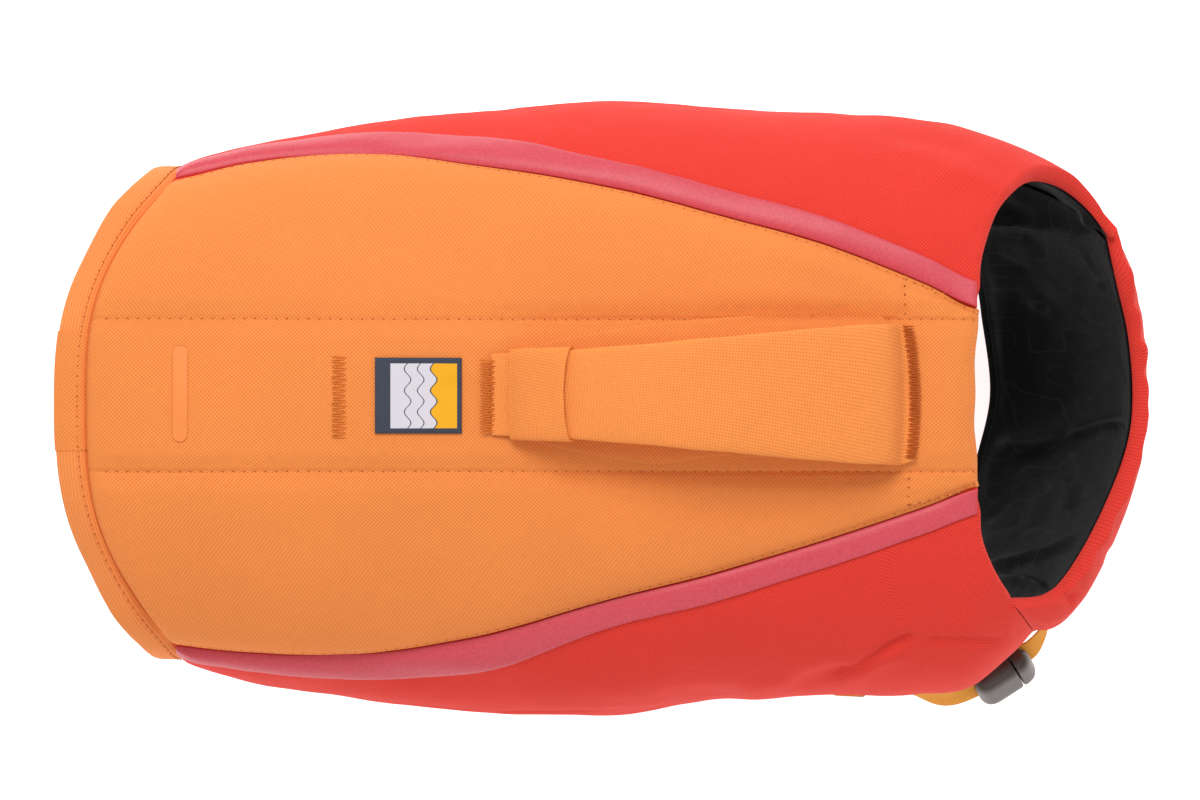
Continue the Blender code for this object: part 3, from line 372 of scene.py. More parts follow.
def plan_of(points: Array) -> Array:
    """Where points lie as seen from the camera straight above."""
    grow = CAMERA_HEIGHT / (CAMERA_HEIGHT - points[..., 2])
    return np.stack((points[..., 0] * grow, CAMERA_ACROSS + (points[..., 1] - CAMERA_ACROSS) * grow), axis=-1)


def wearer_middle(points: Array) -> Array:
    """The place in the middle of the wearer's body that cloth at each point faces away from."""
    x = np.minimum(points[..., 0], WEARER_FRONT)
    return np.stack((x, np.zeros_like(x), np.full_like(x, WEARER_MIDDLE)), axis=-1)


@dataclass(frozen=True)
class Crease:
    """A soft ridge, or a trough where its height is below zero, along a line on a panel."""

    line: tuple[tuple[float, float], ...]
    height: float
    width: float
    space: Space = Space.PLAN
    fade: float = 0.3

    def raised(self, places: Array) -> Array:
        """How far the crease lifts the cloth at each place.

        Args:
            places: Places in the crease's own space, two numbers each.

        Returns:
            The lift in millimetres.
        """
        corners = np.array(self.line)
        ends = chords(corners)
        best = np.full(places.shape[:-1], 1e9)
        along = np.zeros(places.shape[:-1])
        for index, (start, end) in enumerate(zip(corners, corners[1:])):
            run = end - start
            t = np.clip(((places - start) @ run) / (run @ run), 0.0, 1.0)
            away = np.linalg.norm(places - (start + t[..., None] * run), axis=-1)
            nearer = away < best
            best = np.where(nearer, away, best)
            along = np.where(nearer, ends[index] + t * (ends[index + 1] - ends[index]), along)
        along = along / ends[-1]
        taper = smoothstep(along / self.fade) * smoothstep((1.0 - along) / self.fade)
        return self.height * np.exp(-((best / self.width) ** 2)) * taper


# -----------------------------------------------------------------------------
# Meshes


def linked(name: str, data: Any) -> bpy.types.Object:
    """A new object in the scene.

    Args:
        name: The object's name.
        data: Its mesh, lamp or camera.

    Returns:
        The object.
    """
    made = bpy.data.objects.new(name, data)
    bpy.context.scene.collection.objects.link(made)
    return made


def plain_mesh(made: bpy.types.Object) -> bpy.types.Mesh:
    """The mesh of an object as its modifiers leave it."""
    bpy.context.view_layer.update()
    return bpy.data.meshes.new_from_object(made.evaluated_get(bpy.context.evaluated_depsgraph_get()))


def make_object(name: str, points: Array, faces: Sequence[Sequence[int]], uvs: Array,
                finishes: Sequence["Finish"], part: Optional[Array] = None) -> bpy.types.Object:
    """A mesh object whose faces point outward.

    Args:
        name: The object's name.
        points: Its corners in millimetres.
        faces: The corners of each face.
        uvs: The flat place of each face's corner, in metres.
        finishes: Its finishes.
        part: Which finish each face has, or None for the first.

    Returns:
        The object, linked to the scene.
    """
    mesh = bpy.data.meshes.new(name)
    mesh.from_pydata((points * MM).tolist(), [], [list(face) for face in faces])
    layer = mesh.uv_layers.new(name=UV_NAME)
    layer.data.foreach_set("uv", np.asarray(uvs, float).ravel())
    for finish in finishes:
        mesh.materials.append(finish.material)
    if part is not None:
        mesh.polygons.foreach_set("material_index", np.asarray(part, np.int32))
    mesh.shade_smooth()
    mesh.set_sharp_from_angle(angle=math.radians(SHARP_EDGE))
    mesh.update()
    if signed_volume(mesh) < 0.0:
        mesh.flip_normals()
    return linked(name, mesh)


def signed_volume(mesh: bpy.types.Mesh) -> float:
    """The volume inside a mesh, below zero where its faces point in.

    Args:
        mesh: A closed mesh.

    Returns:
        The volume in cubic metres.
    """
    mesh.calc_loop_triangles()
    corners = np.empty(len(mesh.vertices) * 3, np.float32)
    mesh.vertices.foreach_get("co", corners)
    triangles = np.empty(len(mesh.loop_triangles) * 3, np.int32)
    mesh.loop_triangles.foreach_get("vertices", triangles)
    a, b, c = corners.reshape(-1, 3).astype(float)[triangles.reshape(-1, 3)].transpose(1, 0, 2)
    return float(np.einsum("ij,ij->i", a, np.cross(b, c)).sum() / 6.0)


@dataclass
class Wall:
    """A closed wall between two grids of points, with a round edge all the way round.

    The rolls say how far each edge is rounded out: first row, last row, first column, last column.
    The lined edges, by number in that order, have the inner face's material round to the outer face.
    """

    inner: Array
    outer: Array
    rolls: tuple[Any, Any, Any, Any] = (0.2, 0.2, 0.2, 0.2)
    rim_steps: int = 6
    lined: tuple[int, ...] = ()

    def border(self) -> Array:
        """The row and column of each place round the edge.

        Returns:
            The places, one a row, with none twice.
        """
        rows, columns = self.inner.shape[:2]
        places = [(0, j) for j in range(columns - 1)] + [(i, columns - 1) for i in range(rows - 1)]
        places += [(rows - 1, j) for j in range(columns - 1, 0, -1)] + [(i, 0) for i in range(rows - 1, 0, -1)]
        return np.array(places)

    def outward(self, border: Array) -> Array:
        """How the wall's edge is pushed out at each place of the border.

        Args:
            border: The places round the edge.

        Returns:
            The push at each place, in millimetres.
        """
        rows, columns = self.inner.shape[:2]
        middle = (self.inner + self.outer) / 2.0
        here = middle[border[:, 0], border[:, 1]]
        shift = np.zeros_like(here)
        i, j = border.T
        edges = ((i == 0, (1, 0), 1), (i == rows - 1, (-1, 0), 1),
                 (j == 0, (0, 1), 0), (j == columns - 1, (0, -1), 0))
        for (on_edge, step, axis), roll in zip(edges, self.rolls):
            amount = np.broadcast_to(roll, (columns if axis else rows,))[border[:, axis]]
            beside = np.clip(i + step[0], 0, rows - 1), np.clip(j + step[1], 0, columns - 1)
            away = unit(here - middle[beside])
            shift += np.where(on_edge[:, None], away * amount[:, None], 0.0)
        return shift

    def build(self, name: str, uv: Array, finishes: Sequence["Finish"]) -> bpy.types.Object:
        """The wall as an object.

        Args:
            name: The object's name.
            uv: The flat place of each grid point, in metres.
            finishes: One finish, or one for the outer face and one for the inner face.

        Returns:
            The object.
        """
        rows, columns = self.inner.shape[:2]
        count = rows * columns
        index = np.arange(count).reshape(rows, columns)
        corners = (index[:-1, :-1], index[:-1, 1:], index[1:, 1:], index[1:, :-1])
        cells = np.stack(corners, axis=-1).reshape(-1, 4)
        border = self.border()
        low = self.inner[border[:, 0], border[:, 1]]
        high = self.outer[border[:, 0], border[:, 1]]
        shift = self.outward(border)
        flat = index[border[:, 0], border[:, 1]]
        rings, ring_ids, points = [], [flat], [self.inner.reshape(-1, 3), self.outer.reshape(-1, 3)]
        start = 2 * count
        for turn in np.linspace(-90.0, 90.0, self.rim_steps + 1)[1:-1]:
            angle = math.radians(turn)
            rings.append((low + high) / 2 + (high - low) / 2 * math.sin(angle) + shift * math.cos(angle))
            ring_ids.append(start + np.arange(len(border)))
            start += len(border)
        ring_ids.append(flat + count)
        faces = [cells, cells[:, ::-1] + count]
        for first, second in zip(ring_ids, ring_ids[1:]):
            faces.append(np.stack((first, second, np.roll(second, -1), np.roll(first, -1)), axis=-1))
        corners = np.concatenate(points + rings)
        every = np.concatenate(faces)
        uv_flat = uv.reshape(-1, 2)
        edge_uv = uv[border[:, 0], border[:, 1]]
        uvs = np.concatenate([uv_flat, uv_flat] + [edge_uv + 0.0005 * (k + 1) for k in range(len(rings))])
        part = np.zeros(len(every), np.int32)
        if len(finishes) > 1:
            part[:len(cells)] = 1
            rim = part[2 * len(cells):].reshape(-1, len(border))
            for edge, (axis, place) in enumerate(((0, 0), (0, rows - 1), (1, 0), (1, columns - 1))):
                if edge in self.lined:
                    rim[:, border[:, axis] == place] = 1
        return make_object(name, corners, every.tolist(), uvs[every.ravel()], finishes, part)


def flat_places(points: Array) -> Array:
    """The flat place of each point of a grid, in metres, from how far along and across the grid it lies.

    Args:
        points: The grid's points, in millimetres.

    Returns:
        The flat places, two numbers each.
    """
    middle = points[:, points.shape[1] // 2]
    along = chords(middle)
    across = np.concatenate((np.zeros((points.shape[0], 1)),
                             np.cumsum(np.linalg.norm(np.diff(points, axis=1), axis=-1), axis=1)), axis=1)
    across = across - across[:, points.shape[1] // 2][:, None]
    return np.stack((np.broadcast_to(along[:, None], across.shape), across), axis=-1) * MM


def section_rings(centres: Array, sideways: Array, upward: Array, half_width: Array, half_thick: Array,
                  sides: int, squareness: float) -> Array:
    """Rings with a rounded flat section along a line of centres, each with its first point at a side.

    Args:
        centres: The line of centres.
        sideways: The direction to each section's side.
        upward: The direction to each section's top.
        half_width: Half of each section's width.
        half_thick: Half of each section's thickness.
        sides: How many points a ring has.
        squareness: The power of its outline: 2 is an ellipse, and more is squarer.

    Returns:
        The rings, each a row of points.
    """
    turn = 2.0 * math.pi * (np.arange(sides) + 0.5) / sides
    radius = (np.abs(np.cos(turn)) ** squareness + np.abs(np.sin(turn)) ** squareness) ** (-1.0 / squareness)
    wide = (radius * np.cos(turn))[None, :, None] * half_width[:, None, None]
    high = (radius * np.sin(turn))[None, :, None] * half_thick[:, None, None]
    return centres[:, None] + sideways[:, None] * wide + upward[:, None] * high


def build_tube(name: str, rings: Array, finish: "Finish", dome: float) -> bpy.types.Object:
    """A closed tube through rings of points, with slightly domed ends.

    Args:
        name: The object's name.
        rings: The rings, each a row of points.
        finish: Its finish.
        dome: How far each end stands out, in millimetres.

    Returns:
        The object.
    """
    ends = []
    for end, inside in ((0, 1), (-1, -2)):
        middle = rings[end].mean(axis=0)
        out = unit(middle - rings[inside].mean(axis=0))
        ends.append([middle + (rings[end] - middle) * size + out * dome * rise
                     for size, rise in ((0.93, 0.6), (0.7, 1.0))])
    stack = np.concatenate((np.array(ends[0][::-1]), rings, np.array(ends[1])))
    count, sides = stack.shape[:2]
    along = chords(stack.mean(axis=1))
    step = np.linalg.norm(np.roll(stack, -1, axis=1) - stack, axis=-1).mean(axis=0)
    around = np.concatenate(([0.0], np.cumsum(step)))
    faces, uvs = [], []
    for i in range(count - 1):
        for j in range(sides):
            after = (j + 1) % sides
            faces.append((i * sides + j, i * sides + after, (i + 1) * sides + after, (i + 1) * sides + j))
            uvs += [(along[i], around[j]), (along[i], around[j + 1]),
                    (along[i + 1], around[j + 1]), (along[i + 1], around[j])]
    faces.append(tuple(range(sides))[::-1])
    faces.append(tuple(range((count - 1) * sides, count * sides)))
    uvs += [(along[0], around[0])] * sides + [(along[-1], around[0])] * sides
    return make_object(name, stack.reshape(-1, 3), faces, np.array(uvs) * MM, [finish])


def put(piece: bpy.types.Object, nodes: Sequence[str] = ()) -> None:
    """Make a piece ride on the jacket and stand for CAD nodes.

    Args:
        piece: The piece.
        nodes: The CAD nodes it stands for.
    """
    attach(piece, "root")
    if nodes:
        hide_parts(*nodes)
    LOG.info("%s: %d faces", piece.name, len(piece.data.polygons))


# -----------------------------------------------------------------------------
# Finishes


# Settings that several nodes share.
MIX = {"data_type": "RGBA"}
TINT = {"data_type": "RGBA", "blend_type": "MULTIPLY"}
TIMES = {"operation": "MULTIPLY"}


def linear(colour: str) -> tuple[float, float, float, float]:
    """An sRGB hex colour as linear red, green, blue and alpha."""
    parts = (int(colour[at:at + 2], 16) / 255.0 for at in (1, 3, 5))
    return (*(part / 12.92 if part <= 0.04045 else ((part + 0.055) / 1.055) ** 2.4 for part in parts), 1.0)


def add_node(tree: bpy.types.NodeTree, kind: str, settings: Optional[Mapping[str, Any]] = None,
             inputs: Optional[Mapping[Any, Any]] = None) -> bpy.types.Node:
    """A new node with its settings, values and links.

    Args:
        tree: The tree it goes into.
        kind: The node's type name.
        settings: Its properties by name.
        inputs: Its inputs by name or number: a node to link by its first output in use, an output, or a value.

    Returns:
        The node.
    """
    made = tree.nodes.new(kind)
    for name, value in (settings or {}).items():
        setattr(made, name, value)
    for key, value in (inputs or {}).items():
        if isinstance(value, bpy.types.Node):
            value = next(output for output in value.outputs if output.enabled)
        if isinstance(value, bpy.types.NodeSocket):
            tree.links.new(value, made.inputs[key])
        else:
            made.inputs[key].default_value = value
    return made


def empty_material(name: str) -> tuple[bpy.types.Material, bpy.types.NodeTree]:
    """A material with an empty node tree.

    Args:
        name: The material's name.

    Returns:
        The material and its tree.
    """
    made = bpy.data.materials.new(name)
    made.use_nodes = True
    made.node_tree.nodes.clear()
    return made, made.node_tree


def finish_tree(tree: bpy.types.NodeTree, inputs: Mapping[str, Any],
                relief: Optional[tuple[float, float, Any]] = None) -> None:
    """End a material's tree in a Principled shader.

    Args:
        tree: The material's tree.
        inputs: The shader's inputs by name.
        relief: The bump's strength, its depth in millimetres and the output that holds its height, or None.
    """
    if relief:
        strength, depth, height = relief
        bump = add_node(tree, "ShaderNodeBump", inputs={"Strength": strength, "Distance": depth * MM,
                                                        "Height": height})
        inputs = {**inputs, "Normal": bump}
    shader = add_node(tree, "ShaderNodeBsdfPrincipled", inputs=inputs)
    add_node(tree, "ShaderNodeOutputMaterial", inputs={"Surface": shader})


def blotches(tree: bpy.types.NodeTree, size: float, low: float, high: float,
             detail: float = 2.0) -> bpy.types.Node:
    """Soft noise of a size in millimetres over the piece, between two values.

    Args:
        tree: The material's tree.
        size: The size of a blotch, in millimetres.
        low: The lower value.
        high: The higher value.
        detail: How many finer layers the noise has.

    Returns:
        The node that gives the noise.
    """
    place = add_node(tree, "ShaderNodeTexCoord")
    field = add_node(tree, "ShaderNodeTexNoise", inputs={"Vector": place.outputs["Object"],
                                                         "Scale": 1.0 / (size * MM), "Detail": detail})
    return add_node(tree, "ShaderNodeMapRange", inputs={"Value": field, "From Min": 0.3, "From Max": 0.7,
                                                        "To Min": low, "To Max": high})


def flat_waves(tree: bpy.types.NodeTree, turn: float, pitch_along: float,
               pitch_across: float) -> tuple[bpy.types.Node, bpy.types.Node]:
    """Sine waves along and across a piece's own flat places.

    Args:
        tree: The material's tree.
        turn: How far the waves are turned, in degrees.
        pitch_along: The length of a wave along the piece, in millimetres.
        pitch_across: The length of a wave across the piece, in millimetres.

    Returns:
        The nodes that give the two waves, each from -1 to 1.
    """
    place = add_node(tree, "ShaderNodeUVMap", {"uv_map": UV_NAME})
    turned = add_node(tree, "ShaderNodeMapping", inputs={"Vector": place,
                                                         "Rotation": (0.0, 0.0, math.radians(turn))})
    split = add_node(tree, "ShaderNodeSeparateXYZ", inputs={"Vector": turned})
    found = []
    for axis, pitch in (("X", pitch_along), ("Y", pitch_across)):
        scaled = add_node(tree, "ShaderNodeMath", TIMES,
                          {0: split.outputs[axis], 1: 2.0 * math.pi / (pitch * MM)})
        found.append(add_node(tree, "ShaderNodeMath", {"operation": "SINE"}, {0: scaled}))
    return found[0], found[1]


@dataclass(frozen=True)
class OxfordCloth:
    """Polyester oxford with a coated back: plain weave, matt, with painted shade making its small gaps between
    threads a shade darker.
    """

    name: str
    thread: str
    gap: str
    # The real threads lie 1.0 mm apart. They are drawn coarser, so that they show.
    pitch: float = 1.9
    turn: float = 0.0
    bump: float = 0.22
    blotch: float = 0.05

    def dress(self, tree: bpy.types.NodeTree) -> None:
        """The finish, with its weave in the colour and the bump.

        Args:
            tree: The material's tree.
        """
        along, across = flat_waves(tree, self.turn, self.pitch, self.pitch)
        weave = add_node(tree, "ShaderNodeMath", TIMES, {0: along, 1: across})
        level = add_node(tree, "ShaderNodeMapRange", inputs={"Value": weave, "From Min": -1.0,
                                                             "From Max": 0.6})
        # The gap colour is painted shade in the gaps between threads; the weave's relief is also in the bump.
        colour = add_node(tree, "ShaderNodeMix", MIX, {0: level, 6: linear(self.gap), 7: linear(self.thread)})
        shade = blotches(tree, 70.0, 1.0 - self.blotch, 1.0)
        grain = blotches(tree, 2.6, 1.0 - self.blotch, 1.0, 4.0)
        both = add_node(tree, "ShaderNodeMath", TIMES, {0: shade, 1: grain})
        colour = add_node(tree, "ShaderNodeMix", TINT, {0: 1.0, 6: colour, 7: both})
        finish_tree(tree, {"Base Color": colour, "Roughness": 0.85, "Specular IOR Level": 0.25},
                    (0.5, self.bump, level))


@dataclass(frozen=True)
class ReflectiveTape:
    """Heat-bonded reflective film: smooth, a little glossy, with a fine grain of glass beads under it."""

    name: str
    film: str
    deep: str

    def dress(self, tree: bpy.types.NodeTree) -> None:
        """The finish, with its bead grain in the colour.

        Args:
            tree: The material's tree.
        """
        # Real beads are under 0.1 mm. The grain is drawn coarser, so that it shows.
        grain = blotches(tree, 1.1, 0.0, 1.0, 3.0)
        colour = add_node(tree, "ShaderNodeMix", MIX, {0: grain, 6: linear(self.deep), 7: linear(self.film)})
        finish_tree(tree, {"Base Color": colour, "Roughness": 0.45, "Specular IOR Level": 0.35},
                    (0.15, 0.05, grain))


@dataclass(frozen=True)
class RibbedCloth:
    """Grosgrain binding and polyester webbing: fine ribs that catch light and are dark between."""

    name: str
    rib: str
    groove: str
    pitch: float
    cross_pitch: float
    turn: float = 0.0
    bump: float = 0.25
    roughness: float = 0.8

    def dress(self, tree: bpy.types.NodeTree) -> None:
        """The finish, with its ribs in the colour and the bump.

        Args:
            tree: The material's tree.
        """
        along, across = flat_waves(tree, self.turn, self.cross_pitch, self.pitch)
        ribs = add_node(tree, "ShaderNodeMapRange", inputs={"Value": across, "From Min": -1.0, "From Max": 0.5})
        small = add_node(tree, "ShaderNodeMapRange", inputs={"Value": along, "From Min": -1.0, "To Min": 0.8})
        height = add_node(tree, "ShaderNodeMath", TIMES, {0: ribs, 1: small})
        # Painted light and shade: the colour is lighter on the ribs and darker in the grooves between them.
        colour = add_node(tree, "ShaderNodeMix", MIX, {0: height, 6: linear(self.groove), 7: linear(self.rib)})
        shade = blotches(tree, 30.0, 0.94, 1.0)
        colour = add_node(tree, "ShaderNodeMix", TINT, {0: 1.0, 6: colour, 7: shade})
        finish_tree(tree, {"Base Color": colour, "Roughness": self.roughness, "Specular IOR Level": 0.3},
                    (0.7, self.bump, height))


@dataclass(frozen=True)
class SatinLining:
    """Coated black polyester lining: smooth and slightly shiny, with fine contour lines a shade lighter."""

    name: str
    ground: str
    line: str

    def dress(self, tree: bpy.types.NodeTree) -> None:
        """The finish, with its contour lines in the colour.

        Args:
            tree: The material's tree.
        """
        place = add_node(tree, "ShaderNodeTexCoord")
        hills = add_node(tree, "ShaderNodeTexNoise", inputs={"Vector": place.outputs["Object"], "Scale": 26.0,
                                                             "Detail": 1.0})
        # A thin line wherever the noise passes one of its even levels, as on a map.
        levels = add_node(tree, "ShaderNodeMath", TIMES, {0: hills, 1: 60.0})
        wave = add_node(tree, "ShaderNodeMath", {"operation": "SINE"}, {0: levels})
        lines = add_node(tree, "ShaderNodeMapRange", inputs={"Value": wave, "From Min": 0.9, "From Max": 1.0})
        colour = add_node(tree, "ShaderNodeMix", MIX, {0: lines, 6: linear(self.ground), 7: linear(self.line)})
        grain = blotches(tree, 0.9, 0.0, 1.0, 2.0)
        finish_tree(tree, {"Base Color": colour, "Roughness": 0.6, "Specular IOR Level": 0.18,
                           "Sheen Weight": 0.02}, (0.25, 0.12, grain))


@dataclass(frozen=True)
class Acetal:
    """Injection-moulded acetal: smooth and softly glossy, with a very slight unevenness in its skin."""

    name: str
    colour: str

    def dress(self, tree: bpy.types.NodeTree) -> None:
        """The finish, with its faint skin texture in the bump.

        Args:
            tree: The material's tree.
        """
        skin = blotches(tree, 1.4, 0.0, 1.0, 3.0)
        shade = blotches(tree, 9.0, 0.9, 1.0)
        colour = add_node(tree, "ShaderNodeMix", TINT, {0: 1.0, 6: linear(self.colour), 7: shade})
        finish_tree(tree, {"Base Color": colour, "Roughness": 0.32, "IOR": 1.48}, (0.12, 0.05, skin))


@dataclass(frozen=True)
class Thread:
    """Bonded polyester sewing thread: smooth, with a soft shine."""

    name: str
    colour: str
    roughness: float = 0.6

    def dress(self, tree: bpy.types.NodeTree) -> None:
        """The finish, a little uneven in colour.

        Args:
            tree: The material's tree.
        """
        shade = blotches(tree, 1.6, 0.82, 1.0, 2.0)
        colour = add_node(tree, "ShaderNodeMix", TINT, {0: 1.0, 6: linear(self.colour), 7: shade})
        finish_tree(tree, {"Base Color": colour, "Roughness": self.roughness, "Specular IOR Level": 0.35})


@dataclass(frozen=True)
class WovenLabel:
    """Damask-woven label: a dark border, an amber field and pale water with wavy lines, in a fine weave."""

    name: str
    border: str
    field: str
    pale: str
    length: float
    width: float
    edge: float = 1.7
    strip: float = 6.9
    water: float = 27.0
    swell: float = 9.9

    def dress(self, tree: bpy.types.NodeTree) -> None:
        """The finish, with its border and waves in the colour.

        Args:
            tree: The material's tree.
        """
        place = add_node(tree, "ShaderNodeUVMap", {"uv_map": UV_NAME})
        split = add_node(tree, "ShaderNodeSeparateXYZ", inputs={"Vector": place})
        bend = add_node(tree, "ShaderNodeMath", TIMES,
                        {0: split.outputs["Y"], 1: 2.0 * math.pi / (self.swell * MM)})
        bend = add_node(tree, "ShaderNodeMath", {"operation": "SINE"}, {0: bend})
        level = add_node(tree, "ShaderNodeMath", {"operation": "MULTIPLY_ADD"},
                         {0: bend, 1: 1.5 * MM, 2: split.outputs["X"]})
        colour: Any = linear(self.field)
        # Pale water up to a wavy line, then two more dark lines in it, each woven half a millimetre wide.
        for depth, shade in ((self.water, self.pale), (self.water, self.border), (self.water - 0.6, self.pale),
                             (self.water - 6.0, self.border), (self.water - 6.5, self.pale),
                             (self.water - 12.0, self.border), (self.water - 12.5, self.pale)):
            below = add_node(tree, "ShaderNodeMath", {"operation": "LESS_THAN"}, {0: level, 1: depth * MM})
            colour = add_node(tree, "ShaderNodeMix", MIX, {0: below, 6: colour, 7: linear(shade)})
        inside: Any = 1.0
        half = self.width / 2 - self.edge
        limits = (("X", "GREATER_THAN", self.strip), ("X", "LESS_THAN", self.length - self.edge),
                  ("Y", "GREATER_THAN", -half), ("Y", "LESS_THAN", half))
        for axis, operation, limit in limits:
            test = add_node(tree, "ShaderNodeMath", {"operation": operation},
                            {0: split.outputs[axis], 1: limit * MM})
            inside = add_node(tree, "ShaderNodeMath", TIMES, {0: inside, 1: test})
        colour = add_node(tree, "ShaderNodeMix", MIX, {0: inside, 6: linear(self.border), 7: colour})
        # The real picks lie 0.25 mm apart. They are drawn coarser, so that they show.
        along, across = flat_waves(tree, 0.0, 1.1, 1.1)
        picks = add_node(tree, "ShaderNodeMath", TIMES, {0: along, 1: across})
        # Painted shade: the colour darkens between the picks, where the weave dips.
        shade = add_node(tree, "ShaderNodeMapRange", inputs={"Value": picks, "From Min": -1.0,
                                                             "To Min": 0.82})
        colour = add_node(tree, "ShaderNodeMix", TINT, {0: 1.0, 6: colour, 7: shade})
        finish_tree(tree, {"Base Color": colour, "Roughness": 0.7, "Specular IOR Level": 0.3},
                    (0.4, 0.12, picks))


class Finish(Enum):
    """Every finish on the jacket, each made into a material once, when a piece first takes it."""

    ORANGE = OxfordCloth("oxford_orange", "#F3914B", "#DC7835")
    ORANGE_FILM = ReflectiveTape("bonded_film_orange", "#EB8741", "#E8843D")
    HANDLE = OxfordCloth("oxford_orange_bias", "#F7964C", "#E17F3B", turn=38.0)
    RED = OxfordCloth("oxford_red", "#E93F32", "#CC2B22")
    PINK = ReflectiveTape("reflective_pink", "#D24C58", "#C2414D")
    BINDING = RibbedCloth("grosgrain_orange", "#F1904B", "#E4813F", 1.6, 2.4, bump=0.16)
    LINING = SatinLining("satin_black", "#101011", "#1D1D20")
    WEBBING = RibbedCloth("webbing_amber", "#EC9C27", "#CC8119", 1.7, 2.6, turn=24.0, bump=0.3)
    ACETAL = Acetal("acetal_grey_brown", "#43372F")
    LABEL = WovenLabel("damask_label", "#3A404E", "#F3AE14", "#DAD4DC", 39.1, 33.1)
    ORANGE_THREAD = Thread("thread_orange", "#EE8F4C")
    RED_THREAD = Thread("thread_red", "#E4463B")
    # Dark beads of painted shade at the needle holes between stitches.
    ORANGE_HOLE = Thread("needle_hole_orange", "#B15C22", 0.9)
    RED_HOLE = Thread("needle_hole_red", "#96231C", 0.9)
    DARK_TACK = Thread("thread_tack_dark", "#BC5708", 0.7)
    PALE_TACK = Thread("thread_tack_pale", "#D6701C", 0.7)
    LABEL_THREAD = Thread("thread_slate", "#4A5060")
    AMBER_THREAD = Thread("thread_amber", "#B4690F")

    @cached_property
    def material(self) -> bpy.types.Material:
        """The finish as a material.

        Returns:
            The material.
        """
        made, tree = empty_material(self.value.name)
        self.value.dress(tree)
        return made


# -----------------------------------------------------------------------------
# Sewing: rows of stitches and bar tacks


def new_group(name: str, numbers: Sequence[str], vectors: Sequence[str] = ()) -> bpy.types.NodeTree:
    """A geometry node tree with a geometry in and out, named inputs for sizes, and one for the finish.

    Args:
        name: The tree's name.
        numbers: The names of its sizes.
        vectors: The names of its directions.

    Returns:
        The tree.
    """
    tree = bpy.data.node_groups.new(name, "GeometryNodeTree")
    tree.interface.new_socket("Geometry", in_out="INPUT", socket_type="NodeSocketGeometry")
    for word in numbers:
        tree.interface.new_socket(word, in_out="INPUT", socket_type="NodeSocketFloat")
    for word in vectors:
        tree.interface.new_socket(word, in_out="INPUT", socket_type="NodeSocketVector")
    tree.interface.new_socket("Finish", in_out="INPUT", socket_type="NodeSocketMaterial")
    tree.interface.new_socket("Geometry", in_out="OUTPUT", socket_type="NodeSocketGeometry")
    return tree


def place_beads(tree: bpy.types.NodeTree, given: bpy.types.Node, points: bpy.types.Node,
                lie: bpy.types.Node) -> None:
    """Put a thread bead at every point of a curve, lying along a direction, and end the tree.

    Args:
        tree: The geometry node tree.
        given: Its group input.
        points: The node that gives the curve.
        lie: The node that gives the direction of each bead.
    """
    bead = add_node(tree, "GeometryNodeMeshUVSphere", inputs={"Segments": 6, "Rings": 4, "Radius": 0.5})
    smooth = add_node(tree, "GeometryNodeSetShadeSmooth", inputs={0: bead})
    turn = add_node(tree, "FunctionNodeAlignRotationToVector", {"axis": "X"}, {"Vector": lie})
    uneven = add_node(tree, "FunctionNodeRandomValue", {"data_type": "FLOAT"}, {2: 0.86, 3: 1.1, "Seed": 4})
    long = add_node(tree, "ShaderNodeMath", TIMES, {0: given.outputs["Length"], 1: uneven})
    width = given.outputs["Width"]
    size = add_node(tree, "ShaderNodeCombineXYZ", inputs={"X": long, "Y": width, "Z": width})
    laid = add_node(tree, "GeometryNodeInstanceOnPoints",
                    inputs={"Points": points, "Instance": smooth, "Rotation": turn, "Scale": size})
    real = add_node(tree, "GeometryNodeRealizeInstances", inputs={0: laid})
    dyed = add_node(tree, "GeometryNodeSetMaterial", inputs={0: real, "Material": given.outputs["Finish"]})
    add_node(tree, "NodeGroupOutput", inputs={0: dyed})


@cache
def stitch_tree() -> bpy.types.NodeTree:
    """Beads of thread along every line, end to end: sizes Pitch, Start, Length and Width in metres.

    Returns:
        The geometry node tree.
    """
    tree = new_group("stitch_row", ("Pitch", "Start", "Length", "Width"))
    given = add_node(tree, "NodeGroupInput")
    curve = add_node(tree, "GeometryNodeMeshToCurve", inputs={"Mesh": given.outputs["Geometry"]})
    trimmed = add_node(tree, "GeometryNodeTrimCurve", {"mode": "LENGTH"},
                       {0: curve, 4: given.outputs["Start"], 5: 10.0})
    spaced = add_node(tree, "GeometryNodeResampleCurve", {"mode": "LENGTH"},
                      {"Curve": trimmed, "Length": given.outputs["Pitch"]})
    along = add_node(tree, "GeometryNodeInputTangent")
    place_beads(tree, given, spaced, along)
    return tree


@cache
def tack_tree() -> bpy.types.NodeTree:
    """Threads across every line, slanting both ways: sizes Pitch, Slant, Length, Width and Across.

    Returns:
        The geometry node tree.
    """
    tree = new_group("bar_tack", ("Pitch", "Slant", "Length", "Width"), ("Across",))
    given = add_node(tree, "NodeGroupInput")
    curve = add_node(tree, "GeometryNodeMeshToCurve", inputs={"Mesh": given.outputs["Geometry"]})
    spaced = add_node(tree, "GeometryNodeResampleCurve", {"mode": "LENGTH"},
                      {"Curve": curve, "Length": given.outputs["Pitch"]})
    number = add_node(tree, "GeometryNodeInputIndex")
    odd = add_node(tree, "ShaderNodeMath", {"operation": "MODULO"}, {0: number, 1: 2.0})
    sign = add_node(tree, "ShaderNodeMath", {"operation": "MULTIPLY_ADD"}, {0: odd, 1: -2.0, 2: 1.0})
    lean = add_node(tree, "ShaderNodeMath", TIMES, {0: sign, 1: given.outputs["Slant"]})
    along = add_node(tree, "GeometryNodeInputTangent")
    leaning = add_node(tree, "ShaderNodeVectorMath", {"operation": "SCALE"}, {0: along, 3: lean})
    lie = add_node(tree, "ShaderNodeVectorMath", {"operation": "ADD"}, {0: given.outputs["Across"],
                                                                       1: leaning})
    place_beads(tree, given, spaced, lie)
    return tree


